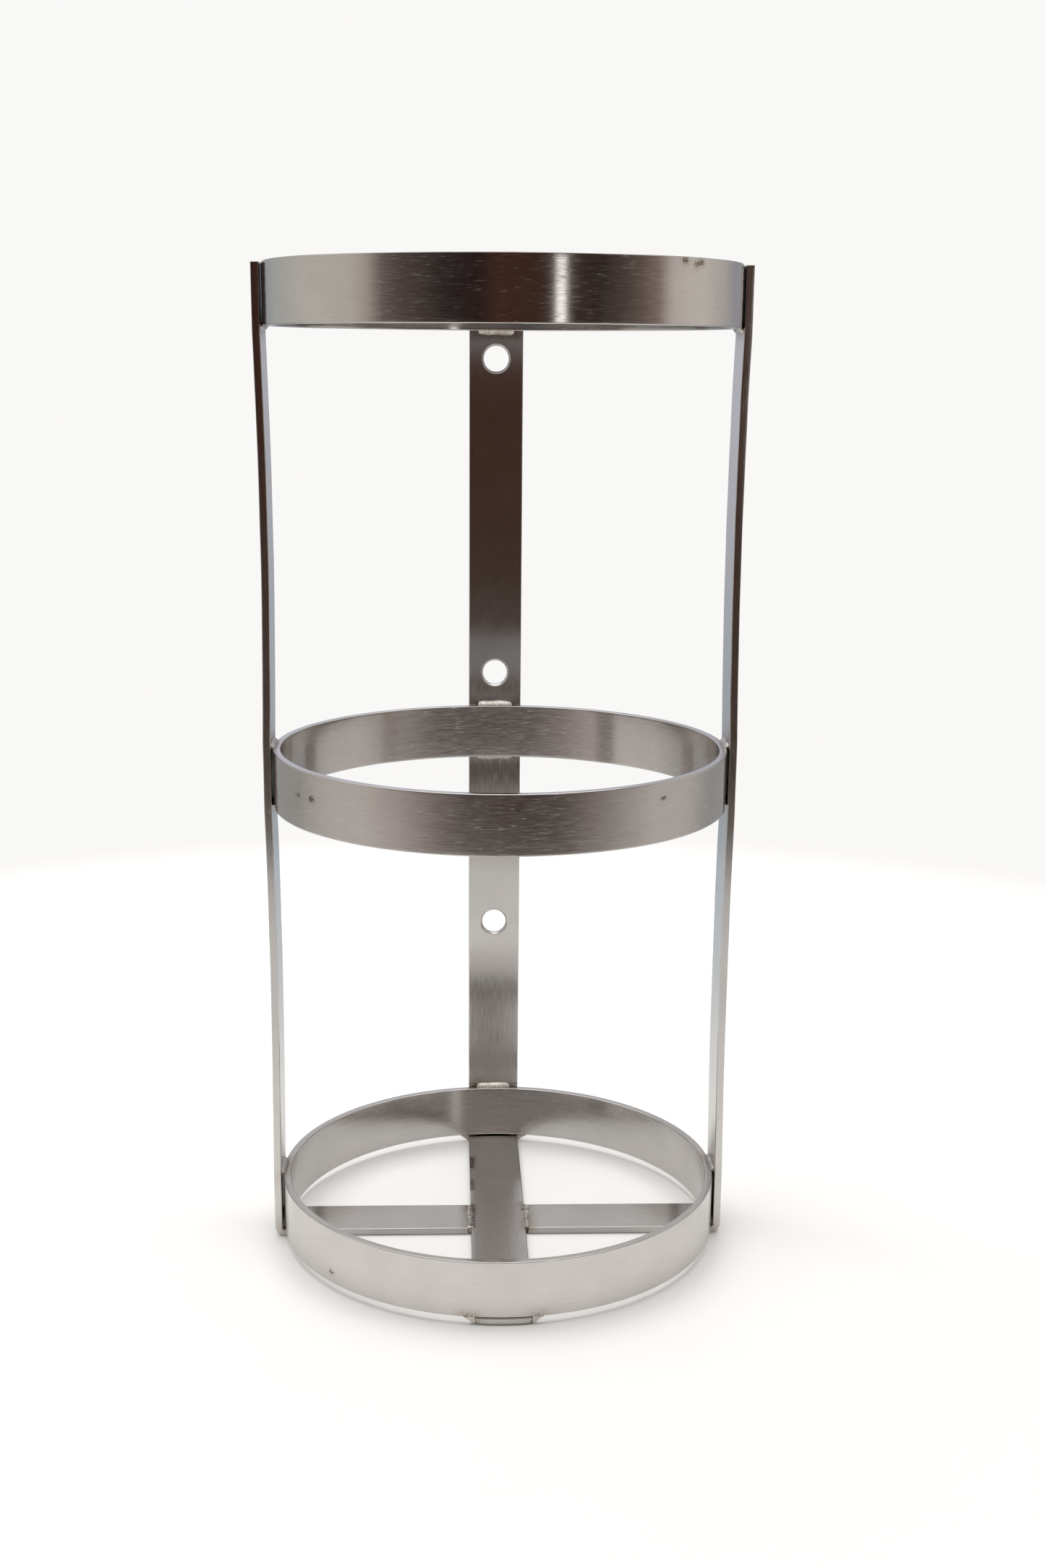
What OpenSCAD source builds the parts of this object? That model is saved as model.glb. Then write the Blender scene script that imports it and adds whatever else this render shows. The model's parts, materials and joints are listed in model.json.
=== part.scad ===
// Welded flat-bar umbrella stand that can stand free or be screwed to a wall.
// Three rolled rings are welded inside three upright straps. Each strap is bent under the
// bottom ring: the rear one runs through to the front, the side ones butt against it.
// +Z is up, the front faces -Y, and the origin is the bottom centre.

/* [Stand] */
// Height of the stand from the floor to the top of the straps
stand_h = 512; // [400:1:800]
// Outside diameter of the rings
ring_d = 236; // [160:1:360]

/* [Flat bar] */
// Width of the flat bar that every ring and strap is made of
bar_w = 30; // [20:1:45]
// Thickness of the flat bar
bar_t = 4; // [3:0.5:6]
// Radius of the rings' edges
edge_r = 0.5; // [0.3:0.1:1]

/* [Rings] */
// Height of the middle ring's lower edge above the bottom ring's lower edge
ring_pitch = 237; // [120:1:260]
// Gap between the floor legs and the bottom ring's lower edge
seat_gap = 0.7; // [0.4:0.1:1.5]

/* [Straps] */
// Gap between a strap's inner face and the rings
side_gap = 0.3; // [0.1:0.1:1]
// Inside radius of the bend between upright and floor leg
bend_r = 1.5; // [1:0.1:1.6]
// Depth of the inward bow between the top and middle rings
upper_bow = 1.4; // [0.5:0.1:3]
// Depth of the inward bow between the middle and bottom rings
lower_bow = 0.9; // [0.5:0.1:3]
// Length of upright that stays straight past each ring's edge
straight_margin = 4; // [3:0.5:8]

/* [Wall holes] */
// Diameter of the wall holes in the rear strap
hole_d = 14; // [6:0.5:16]
// Width of the chamfer on both mouths of each wall hole
hole_chamfer = 1; // [0.2:0.1:1.2]
// Distance from the top ring's lower edge down to the top hole
top_hole_drop = 15; // [14:0.5:60]
// Distance from the middle ring's upper edge up to the middle hole
middle_hole_rise = 19; // [14:0.5:60]
// Distance from the middle ring's lower edge down to the low hole
low_hole_drop = 101.5; // [30:0.5:110]

/* [Welds] */
// Leg of the fillet welds between rings and uprights
fillet_leg = 2.4; // [1.5:0.1:2.9]
// Length of the fillet welds between rings and uprights
fillet_len = 20.5; // [10:0.5:30]
// Reach of the fillet welds beside the floor legs
floor_fillet_w = 5.5; // [3:0.5:8]
// Width of the welded joint between a side leg and the centre leg
butt_gap = 1.2; // [0.6:0.1:2]
// Height of the welds' lower faces above the floor
weld_lift = 0.4; // [0.2:0.1:1]

/* [Hidden] */

STEEL = "#a9a6a1";
WELD = "#cfccc6";

// Number of facets round holes, bends and edges
round_fn = 64;
// Number of facets round a ring
ring_fn = 360;
// Number of facets round the full circle of a bow, which uses only a few degrees of it
bow_fn = 3600;
// Small length by which a cutting tool passes a face
past = 1;

ring_r = ring_d / 2;
strap_x = ring_r + side_gap;
bottom_ring_z = bar_t + seat_gap;
middle_ring_z = bottom_ring_z + ring_pitch;
top_ring_z = stand_h - bar_w;

// Directions of the straps about Z, from +X
RIGHT = 0;
REAR = 90;
LEFT = 180;
FRONT = 270;

// Each bow is [height at which it starts, its length, its depth]
BOWS = [
    bow_between(bottom_ring_z, middle_ring_z, lower_bow),
    bow_between(middle_ring_z, top_ring_z, upper_bow),
];

HOLE_HEIGHTS = [
    top_ring_z - top_hole_drop,
    middle_ring_z + bar_w + middle_hole_rise,
    middle_ring_z - low_hole_drop,
];

// The bow between a ring with its lower edge at height low and the next ring at height high
function bow_between(low, high, depth) =
    let (start = low + bar_w + straight_margin)
    [start, high - straight_margin - start, depth];

// Radius of the inner face of a bow, which is one arc
function bow_r(bow) = (pow(bow[1] / 2, 2) + pow(bow[2], 2)) / (2 * bow[2]);

// Height of the middle of a bow
function bow_middle(bow) = bow[0] + bow[1] / 2;

// How far a bow has moved the upright inwards at height z, which is 0 beyond its ends
function bow_inset(bow, z) =
    let (m = abs(z - bow_middle(bow)), r = bow_r(bow))
    m < bow[1] / 2 ? bow[2] - r + sqrt(r * r - m * m) : 0;

// Bulge of a bow on the upright's inner face
module bow_bulge(bow) {
    intersection() {
        translate([strap_x - bow[2] + bow_r(bow), bow_middle(bow)])
            circle(r = bow_r(bow), $fn = bow_fn);
        translate([strap_x - past - bow[2], bow[0] - past])
            square([past + bow[2] + bar_t / 2, bow[1] + 2 * past]);
    }
}

// Hollow of a bow in the upright's outer face
module bow_hollow(bow) {
    translate([strap_x - bow[2] + bow_r(bow), bow_middle(bow)])
        circle(r = bow_r(bow) - bar_t, $fn = bow_fn);
}

// Quarter-round fillet in the corner at the origin, between +x and +y
module corner(r) {
    difference() {
        square(r);
        translate([r, r])
            circle(r = r, $fn = round_fn);
    }
}

// Side view of a strap that stands in the +X direction, with its leg's end at x = leg_end
module strap_profile(leg_end) {
    outer_x = strap_x + bar_t;
    difference() {
        union() {
            translate([leg_end, 0])
                square([outer_x - leg_end, bar_t]);
            translate([strap_x, 0])
                square([bar_t, stand_h]);
            translate([strap_x, bar_t])
                mirror([1, 0])
                    corner(bend_r);
            for (bow = BOWS)
                bow_bulge(bow);
        }
        translate([outer_x, 0])
            mirror([1, 0])
                corner(bend_r + bar_t);
        for (bow = BOWS)
            bow_hollow(bow);
    }
}

// Strap that stands in the +X direction, with its leg's end at x = leg_end
module strap(leg_end) {
    rotate([90, 0, 0])
        linear_extrude(bar_w, center = true)
            strap_profile(leg_end);
}

// Section of a ring's bar, with rounded edges and its inner lower corner at the origin
module ring_section() {
    translate([0, edge_r])
        square([bar_t, bar_w - 2 * edge_r]);
    translate([edge_r, 0])
        square([bar_t - 2 * edge_r, bar_w]);
    for (x = [edge_r, bar_t - edge_r], y = [edge_r, bar_w - edge_r])
        translate([x, y])
            circle(r = edge_r, $fn = round_fn);
}

// Ring with its lower edge at height z
module ring(z) {
    translate([0, 0, z])
        rotate_extrude($fn = ring_fn)
            translate([ring_r - bar_t, 0])
                ring_section();
}

// Drill for one wall hole through the strap in the +X direction, with both mouths chamfered
module wall_drill(z) {
    face_x = strap_x - max([for (bow = BOWS) bow_inset(bow, z)]);
    mouth_r = hole_d / 2 + hole_chamfer;
    translate([face_x, 0, z])
        rotate([0, 90, 0]) {
            translate([0, 0, -past])
                cylinder(d = hole_d, h = bar_t + 2 * past, $fn = round_fn);
            translate([0, 0, -past])
                cylinder(r1 = mouth_r + past, r2 = hole_d / 2, h = hole_chamfer + past, $fn = round_fn);
            translate([0, 0, bar_t - hole_chamfer])
                cylinder(r1 = hole_d / 2, r2 = mouth_r + past, h = hole_chamfer + past, $fn = round_fn);
        }
}

// What is ground off the centre leg's front end, so that it follows the ring's outer face
module front_trim() {
    translate([-ring_r - bar_w, -bar_w, -past])
        difference() {
            cube([bar_w + ring_r / 2, 2 * bar_w, bar_t + 2 * past]);
            translate([ring_r + bar_w, bar_w, -past])
                cylinder(r = ring_r, h = bar_t + 4 * past, $fn = ring_fn);
        }
}

// Section of a fillet weld in the corner at the origin, between +x and +y, a little convex
module fillet_section(leg) {
    intersection() {
        square(leg);
        translate([-leg, -leg])
            circle(r = norm([2 * leg, leg]), $fn = round_fn);
    }
}

// Fillet weld under (side = -1) or over (side = 1) a ring's edge at height z, against the
// upright in the +X direction, with its ends rounded in plan
module edge_fillet(z, side) {
    run = fillet_len / 2 - fillet_leg;
    translate([strap_x, 0, z])
        intersection() {
            rotate([90, 0, 0])
                linear_extrude(fillet_len, center = true)
                    scale([-1, side])
                        fillet_section(fillet_leg);
            linear_extrude(2 * fillet_leg, center = true) {
                square([2 * fillet_leg, 2 * run], center = true);
                for (y = [-run, run])
                    translate([0, y])
                        circle(r = fillet_leg, $fn = round_fn);
            }
        }
}

// Welds between the upright in a direction and one ring
module joint_welds(direction, sides, z) {
    rotate([0, 0, direction])
        for (side = sides)
            edge_fillet(side < 0 ? z : z + bar_w, side);
}

// Pair of fillet welds beside the floor leg in a direction, under the bottom ring
module floor_welds(direction) {
    reach = bar_w / 2 + floor_fillet_w;
    inner_r = ring_r - bar_t + edge_r;
    rotate([0, 0, direction])
        for (side = [0, 1])
            mirror([0, side, 0])
                intersection() {
                    translate([ring_r / 2, 0, 0])
                        rotate([90, 0, 90])
                            linear_extrude(ring_r)
                                polygon([
                                    [bar_w / 2, weld_lift],
                                    [reach, bottom_ring_z],
                                    [bar_w / 2, bottom_ring_z],
                                ]);
                    difference() {
                        cylinder(r = ring_r - edge_r, h = bar_w, $fn = ring_fn);
                        translate([0, 0, -past])
                            cylinder(r = inner_r, h = bar_w + 2 * past, $fn = ring_fn);
                    }
                }
}

// Weld that fills the joint between the centre leg and the side leg in a direction
module butt_weld(direction) {
    rotate([0, 0, direction])
        translate([bar_w / 2, edge_r - bar_w / 2, weld_lift])
            cube([butt_gap, bar_w - 2 * edge_r, bar_t - weld_lift]);
}

// Side strap in a direction, with its floor leg stopping short of the centre leg
module side_strap(direction) {
    rotate([0, 0, direction])
        strap(bar_w / 2 + butt_gap);
}

module top_ring() { color(STEEL) ring(top_ring_z); }
module middle_ring() { color(STEEL) ring(middle_ring_z); }
module bottom_ring() { color(STEEL) ring(bottom_ring_z); }

module rear_strap() {
    color(STEEL)
        rotate([0, 0, REAR])
            difference() {
                strap(-ring_r - past);
                front_trim();
                for (z = HOLE_HEIGHTS)
                    wall_drill(z);
            }
}
module left_strap() { color(STEEL) side_strap(LEFT); }
module right_strap() { color(STEEL) side_strap(RIGHT); }

module rear_top_weld() { color(WELD) joint_welds(REAR, [-1], top_ring_z); }
module rear_middle_weld() { color(WELD) joint_welds(REAR, [-1, 1], middle_ring_z); }
module rear_bottom_weld() { color(WELD) joint_welds(REAR, [1], bottom_ring_z); }
module left_top_weld() { color(WELD) joint_welds(LEFT, [-1], top_ring_z); }
module left_middle_weld() { color(WELD) joint_welds(LEFT, [-1, 1], middle_ring_z); }
module left_bottom_weld() { color(WELD) joint_welds(LEFT, [1], bottom_ring_z); }
module right_top_weld() { color(WELD) joint_welds(RIGHT, [-1], top_ring_z); }
module right_middle_weld() { color(WELD) joint_welds(RIGHT, [-1, 1], middle_ring_z); }
module right_bottom_weld() { color(WELD) joint_welds(RIGHT, [1], bottom_ring_z); }

module front_floor_weld() { color(WELD) floor_welds(FRONT); }
module rear_floor_weld() { color(WELD) floor_welds(REAR); }
module left_floor_weld() { color(WELD) floor_welds(LEFT); }
module right_floor_weld() { color(WELD) floor_welds(RIGHT); }
module left_butt_weld() { color(WELD) butt_weld(LEFT); }
module right_butt_weld() { color(WELD) butt_weld(RIGHT); }

top_ring();
middle_ring();
bottom_ring();
rear_strap();
left_strap();
right_strap();
rear_top_weld();
rear_middle_weld();
rear_bottom_weld();
left_top_weld();
left_middle_weld();
left_bottom_weld();
right_top_weld();
right_middle_weld();
right_bottom_weld();
front_floor_weld();
rear_floor_weld();
left_floor_weld();
right_floor_weld();
left_butt_weld();
right_butt_weld();
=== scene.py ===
"""Looks of a welded umbrella stand made of brushed stainless flat bar.

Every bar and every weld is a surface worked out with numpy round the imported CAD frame, in metres. The
main sizes are read from the frame; what is named here is what it doesn't say, such as the uprights'
bows, rolled edges, weld ripples, brush lines and heat marks.
"""

import json
import logging
import math
from dataclasses import dataclass, field, replace
from enum import Enum

import bmesh
import bpy
import numpy as np
from mathutils import Matrix, Vector


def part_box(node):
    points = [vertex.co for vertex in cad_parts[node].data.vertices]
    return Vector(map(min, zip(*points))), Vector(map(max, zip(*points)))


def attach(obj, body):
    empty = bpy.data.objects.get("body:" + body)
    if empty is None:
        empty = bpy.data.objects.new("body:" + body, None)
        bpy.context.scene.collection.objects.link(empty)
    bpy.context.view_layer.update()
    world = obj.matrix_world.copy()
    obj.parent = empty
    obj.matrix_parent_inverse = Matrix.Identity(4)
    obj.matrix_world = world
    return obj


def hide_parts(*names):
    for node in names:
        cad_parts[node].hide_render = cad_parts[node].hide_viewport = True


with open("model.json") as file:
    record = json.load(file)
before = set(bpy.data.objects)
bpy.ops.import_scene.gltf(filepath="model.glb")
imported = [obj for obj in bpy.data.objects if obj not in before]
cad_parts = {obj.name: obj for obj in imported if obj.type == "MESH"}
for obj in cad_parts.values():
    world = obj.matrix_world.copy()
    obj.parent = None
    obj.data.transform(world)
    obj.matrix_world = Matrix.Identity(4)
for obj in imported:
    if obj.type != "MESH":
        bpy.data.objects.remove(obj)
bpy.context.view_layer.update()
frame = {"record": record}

LOG = logging.getLogger("umbrella_stand")
MM = 0.001
MERGE_DISTANCE = 0.004 * MM
SAME_POINT = 1e-6 * MM
NO_LENGTH = 1e-20
GRAIN = "grain"
HEAT = "heat_mark"
BRUSH_UV = "brush"


class Bearing(Enum):
    """Direction of an upright or a floor leg from the stand's axis, in degrees about Z from +X."""

    RIGHT = 0
    REAR = 90
    LEFT = 180
    FRONT = 270

    @property
    def turn(self) -> np.ndarray:
        """Matrix that turns a point made for +X to this direction."""
        c, s = math.cos(math.radians(self.value)), math.sin(math.radians(self.value))
        return np.array([[c, -s, 0.0], [s, c, 0.0], [0.0, 0.0, 1.0]])

    def place(self, *point: float) -> tuple[float, float, float]:
        """A point made for +X, turned to this direction."""
        return tuple(self.turn @ np.array(point))


class Side(Enum):
    """Which edge of a ring a fillet weld runs along."""

    UNDER = -1
    OVER = 1


class Slot(Enum):
    """Material slots of the record, for the flat bar and the weld metal."""

    FLAT_BAR = "flat_bar"
    WELD_METAL = "weld_metal"


def linear(hex_code: str) -> tuple[float, float, float, float]:
    """Turns an sRGB hex colour into linear light.

    Args:
        hex_code: the colour as #rrggbb.

    Returns:
        Red, green, blue and an alpha of 1.
    """
    shares = (int(hex_code[i : i + 2], 16) / 255 for i in (1, 3, 5))
    return (*((c / 12.92 if c <= 0.04045 else ((c + 0.055) / 1.055) ** 2.4) for c in shares), 1.0)


def add_node(tree: bpy.types.NodeTree, kind: str, inputs: dict | None = None, **settings) -> bpy.types.Node:
    """Adds a node with its settings and links.

    Args:
        tree: the tree that gets the node.
        kind: the node's bl_idname.
        inputs: for each input, by name or number, an output socket to link or a value to set.
        **settings: the node's own properties.

    Returns:
        The new node.
    """
    node = tree.nodes.new(kind)
    for key, value in settings.items():
        setattr(node, key, value)
    for key, value in (inputs or {}).items():
        if isinstance(value, bpy.types.NodeSocket):
            tree.links.new(value, node.inputs[key])
        else:
            node.inputs[key].default_value = value
    return node


def empty_nodes(owner: bpy.types.Material | bpy.types.World) -> bpy.types.NodeTree:
    """Switches on the nodes of a material or world and clears them away.

    Args:
        owner: the material or world.

    Returns:
        Its empty tree.
    """
    owner.use_nodes = True
    owner.node_tree.nodes.clear()
    return owner.node_tree


def set_stops(ramp: bpy.types.Node, stops: tuple[tuple[float, str], ...]) -> None:
    """Gives a colour ramp its stops.

    Args:
        ramp: a Color Ramp node.
        stops: place from 0 to 1 and hex colour of each stop, in rising order.
    """
    elements = ramp.color_ramp.elements
    while len(elements) < len(stops):
        elements.new(1.0)
    for element, (place, colour) in zip(elements, stops):
        element.position = place
        element.color = linear(colour)


def stand_in(piece: bpy.types.Object, node: str) -> bpy.types.Object:
    """Puts a piece in the place of its CAD node, on the stand's one body.

    Args:
        piece: the finished piece.
        node: CAD node that it stands for.

    Returns:
        The piece.
    """
    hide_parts(node)
    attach(piece, "root")
    return piece


def crowded(steps: int) -> np.ndarray:
    """Places from -1 to 1 in a column, crowded towards both ends: the sine of an even turn."""
    return np.sin(np.linspace(-np.pi / 2, np.pi / 2, steps + 1))[:, None]


@dataclass
class Skin:
    """Grids of points that are gathered and closed into one mesh.

    Each grid is open and meets its neighbours in equal points, so merging doubles closes every seam
    and pole. The grain of a corner is its place in brushed space: x and y along the bar, z round it.

    Attributes:
        points: points of each grid.
        quads: faces of each grid, as numbers of the gathered points.
        grains: grain of each face's corners.
        uvs: distances along and round the bar of each face's corners.
        heats: heat mark of each point.
        count: number of points so far.
    """

    points: list[np.ndarray] = field(default_factory=list)
    quads: list[np.ndarray] = field(default_factory=list)
    grains: list[np.ndarray] = field(default_factory=list)
    uvs: list[np.ndarray] = field(default_factory=list)
    heats: list[np.ndarray] = field(default_factory=list)
    count: int = 0

    def add_grid(self, xyz: np.ndarray, grain: np.ndarray, uv: np.ndarray, heat: np.ndarray) -> None:
        """Adds one grid.

        Args:
            xyz: points, rows by columns by 3.
            grain: places in brushed space, of the same shape.
            uv: distances along and round the bar, rows by columns by 2.
            heat: 0 for cold metal, 1 at a weld and above 1 where the steel is pitted, rows by columns.
        """
        rows, columns = xyz.shape[:2]
        index = np.arange(rows * columns).reshape(rows, columns)
        quads = np.stack([index[:-1, :-1], index[1:, :-1], index[1:, 1:], index[:-1, 1:]], -1).reshape(-1, 4)
        self.points.append(xyz.reshape(-1, 3))
        self.heats.append(np.broadcast_to(heat, (rows, columns)).reshape(-1))
        self.grains.append(np.broadcast_to(grain, (rows, columns, 3)).reshape(-1, 3)[quads])
        self.uvs.append(np.broadcast_to(uv, (rows, columns, 2)).reshape(-1, 2)[quads])
        self.quads.append(quads + self.count)
        self.count += rows * columns

    def build(self, name: str, material: bpy.types.Material) -> bpy.types.Object:
        """Makes the object: merges doubles, turns faces outwards and smooths by face area.

        Args:
            name: the piece's name.
            material: its finish.

        Returns:
            The object, at the origin, linked to the scene.
        """
        mesh = bpy.data.meshes.new(name)
        mesh.from_pydata(np.concatenate(self.points), [], np.concatenate(self.quads).tolist())
        grain = mesh.attributes.new(GRAIN, "FLOAT_VECTOR", "CORNER")
        grain.data.foreach_set("vector", np.concatenate(self.grains).astype(np.float32).ravel())
        heat = mesh.attributes.new(HEAT, "FLOAT", "POINT")
        heat.data.foreach_set("value", np.concatenate(self.heats).astype(np.float32))
        brush = mesh.uv_layers.new(name=BRUSH_UV)
        brush.uv.foreach_set("vector", np.concatenate(self.uvs).astype(np.float32).ravel())
        work = bmesh.new()
        work.from_mesh(mesh)
        bmesh.ops.remove_doubles(work, verts=work.verts, dist=MERGE_DISTANCE)
        bmesh.ops.dissolve_degenerate(work, edges=work.edges, dist=MERGE_DISTANCE)
        bmesh.ops.recalc_face_normals(work, faces=work.faces)
        work.to_mesh(mesh)
        work.free()
        smooth_by_area(mesh)
        mesh.materials.append(material)
        piece = bpy.data.objects.new(name, mesh)
        bpy.context.scene.collection.objects.link(piece)
        return piece


def smooth_by_area(mesh: bpy.types.Mesh) -> None:
    """Gives each vertex the sum of its faces' normals, each as long as its face's area.

    Broad faces then stay flat up to their rolled edges, and only the small edge faces turn.

    Args:
        mesh: the mesh, with its faces pointing outwards.
    """
    mesh.shade_smooth()
    faces, corners = len(mesh.polygons), len(mesh.loops)
    normals, areas = np.zeros(faces * 3, np.float32), np.zeros(faces, np.float32)
    totals, vertices = np.zeros(faces, np.int32), np.zeros(corners, np.int32)
    mesh.polygons.foreach_get("normal", normals)
    mesh.polygons.foreach_get("area", areas)
    mesh.polygons.foreach_get("loop_total", totals)
    mesh.loops.foreach_get("vertex_index", vertices)
    pull = np.repeat(normals.reshape(-1, 3) * areas[:, None], totals, axis=0)
    summed = np.zeros((len(mesh.vertices), 3))
    np.add.at(summed, vertices, pull)
    summed /= np.maximum(np.linalg.norm(summed, axis=1, keepdims=True), NO_LENGTH)
    mesh.normals_split_custom_set_from_vertices(summed)


@dataclass(frozen=True)
class Undulation:
    """Slow unevenness of a rolled or straightened bar or of a bead, the same on each run.

    Attributes:
        depth: about how far the surface strays, in metres.
        span: length over which the pattern repeats, in metres.
        shortest: shortest wave in it, in metres.
        seed: chooses the phases.
    """

    depth: float
    span: float
    shortest: float
    seed: int

    def at(self, along: np.ndarray) -> np.ndarray:
        """Height at each place: a sum of cosines whose waves fit the span a whole number of times.

        Args:
            along: distances along the bar, in metres.

        Returns:
            Heights in metres, of the same shape.
        """
        rng = np.random.default_rng(self.seed)
        orders = np.arange(2, max(4, round(self.span / self.shortest)))
        weights = rng.normal(size=orders.size) / orders
        phases = rng.uniform(0, 2 * np.pi, orders.size)
        waves = np.cos(2 * np.pi * along[..., None] / self.span * orders + phases)
        return self.depth * (waves @ weights) / np.sqrt((weights**2).sum() / 2)


@dataclass(frozen=True)
class WeldLine:
    """The line that a weld runs along, which marks the steel beside it.

    Attributes:
        start: one end, in metres.
        end: the other end.
        reach: distance at which the heat mark has mostly faded.
        strength: of the mark on the line; above 1 the steel is pitted too.
    """

    start: tuple[float, float, float]
    end: tuple[float, float, float]
    reach: float = 5 * MM
    strength: float = 1.0

    def warmth(self, xyz: np.ndarray) -> np.ndarray:
        """Heat mark: the bell curve of the distance to the line, as high as its strength.

        Args:
            xyz: points, any shape by 3.

        Returns:
            Values from 0 to the strength, of the points' shape without its last axis.
        """
        a, b = np.array(self.start), np.array(self.end)
        share = np.clip((xyz - a) @ (b - a) / ((b - a) @ (b - a)), 0, 1)
        distance = np.linalg.norm(xyz - (a + share[..., None] * (b - a)), axis=-1)
        return self.strength * np.exp(-((distance / self.reach) ** 2))


def heat_of(xyz: np.ndarray, welds: tuple[WeldLine, ...]) -> np.ndarray:
    """The strongest heat mark at each point.

    Args:
        xyz: points, rows by columns by 3.
        welds: the welds and pitted places that mark the piece, one or more.

    Returns:
        Values from 0 up, rows by columns.
    """
    return np.max([weld.warmth(xyz) for weld in welds], axis=0)


@dataclass(frozen=True)
class FlatBar:
    """Section of the flat bar: a rectangle with rolled edges.

    The outline is the core rectangle moved out by the edge radius: point = core + radius x normal.
    It runs along the inner broad face, an edge, the outer broad face and the other edge.

    Attributes:
        width: across the bar, in metres.
        thickness: through the bar.
        edge: radius of the rolled edges.
        broad_steps: steps of the outline along a broad face.
        narrow_steps: steps along an edge face.
        corner_steps: steps round a rolled edge.
    """

    width: float
    thickness: float
    edge: float = 0.55 * MM
    broad_steps: int = 24
    narrow_steps: int = 3
    corner_steps: int = 4

    @property
    def half_flat(self) -> float:
        """Half the width of the flat part of a broad face."""
        return self.width / 2 - self.edge

    def outline(self) -> tuple[np.ndarray, np.ndarray]:
        """The closed outline, its first point repeated at the end.

        Returns:
            The core's points and the unit normals, each columns by 2: across and through the bar.
        """
        near, far = self.edge, self.thickness - self.edge
        a = self.half_flat
        across = np.linspace(-a, a, self.broad_steps + 1)
        through = np.linspace(near, far, self.narrow_steps + 1)
        turns = np.linspace(0, np.pi / 2, self.corner_steps + 1)
        parts = [
            (across, near, np.full(across.shape, -np.pi / 2)),
            (a, near, turns - np.pi / 2),
            (a, through, np.zeros(through.shape)),
            (a, far, turns),
            (across[::-1], far, np.full(across.shape, np.pi / 2)),
            (-a, far, turns + np.pi / 2),
            (-a, through[::-1], np.full(through.shape, np.pi)),
            (-a, near, turns + np.pi),
        ]
        x, y, angles = (np.concatenate(rows) for rows in zip(*(np.broadcast_arrays(*part) for part in parts)))
        core = np.stack([x, y], -1)
        normal = np.stack([np.cos(angles), np.sin(angles)], -1)
        point = core + self.edge * normal
        kept = np.concatenate([[True], np.linalg.norm(np.diff(point, axis=0), axis=1) > SAME_POINT])
        return core[kept], normal[kept]

    def girth(self) -> np.ndarray:
        """Adds up the outline's steps.

        Returns:
            Distance round the outline to each of its points.
        """
        core, normal = self.outline()
        steps = np.linalg.norm(np.diff(core + self.edge * normal, axis=0), axis=1)
        return np.concatenate([[0.0], np.cumsum(steps)])


@dataclass
class Ring:
    """A hoop of flat bar, rolled on edge and closed by a weld ground flush.

    Attributes:
        name: name of the piece.
        node: CAD node that it stands for.
        bar: its section.
        radius: outside radius, in metres.
        low: height of its lower edge.
        welds: welds and pitted places that mark it.
        seed: chooses its unevenness.
        steps: steps round the ring.
        waviness: depth of its unevenness.
        shortest_wave: length of the shortest wave in it.
    """

    name: str
    node: str
    bar: FlatBar
    radius: float
    low: float
    welds: tuple[WeldLine, ...]
    seed: int
    steps: int = 720
    waviness: float = 0.05 * MM
    shortest_wave: float = 18 * MM

    def surface(self, turn: np.ndarray) -> np.ndarray:
        """Carries the section round the axis.

        A point's radius is the inner face's radius + its place through the bar + the unevenness, and
        its height is the middle of the bar + its place across the bar.

        Args:
            turn: angles about Z, as many as there are rows.

        Returns:
            Points, rows by columns by 3.
        """
        core, normal = self.bar.outline()
        point = core + self.bar.edge * normal
        waves = Undulation(self.waviness, 2 * np.pi * self.radius, self.shortest_wave, self.seed)
        uneven = waves.at(turn * self.radius)
        radius = self.radius - self.bar.thickness + point[None, :, 1] + uneven[:, None]
        height = self.low + self.bar.width / 2 + np.broadcast_to(point[None, :, 0], radius.shape)
        return np.stack([radius * np.cos(turn)[:, None], radius * np.sin(turn)[:, None], height], -1)

    def build(self, material: bpy.types.Material) -> bpy.types.Object:
        """Makes the ring.

        Args:
            material: its finish.

        Returns:
            The piece.
        """
        turn = np.linspace(0, 2 * np.pi, self.steps + 1)
        xyz = self.surface(turn)
        xyz[-1] = xyz[0]
        girth = np.broadcast_to(self.bar.girth()[None, :], xyz.shape[:2])
        around = np.broadcast_to(turn[:, None] * self.radius, girth.shape)
        circle = self.radius * np.stack([np.cos(turn), np.sin(turn)], -1)
        grain = np.concatenate([np.broadcast_to(circle[:, None], (*girth.shape, 2)), girth[..., None]], -1)
        skin = Skin()
        skin.add_grid(xyz, grain, np.stack([around, girth], -1), heat_of(xyz, self.welds))
        return stand_in(skin.build(self.name, material), self.node)


@dataclass(frozen=True)
class Bow:
    """A shallow inward bow of an upright between two rings: one arc.

    Attributes:
        low: height at which it starts.
        high: height at which it ends.
        depth: how far its middle lies inwards.
    """

    low: float
    high: float
    depth: float

    def inset(self, height: np.ndarray) -> np.ndarray:
        """How far the upright lies inwards: the arc's rise over its chord, 0 beyond its ends.

        Args:
            height: heights above the floor.

        Returns:
            Distances inwards, of the same shape.
        """
        half = (self.high - self.low) / 2
        radius = (half**2 + self.depth**2) / (2 * self.depth)
        away = np.minimum(np.abs(height - (self.low + self.high) / 2), half)
        return self.depth - radius + np.sqrt(radius**2 - away**2)


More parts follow.
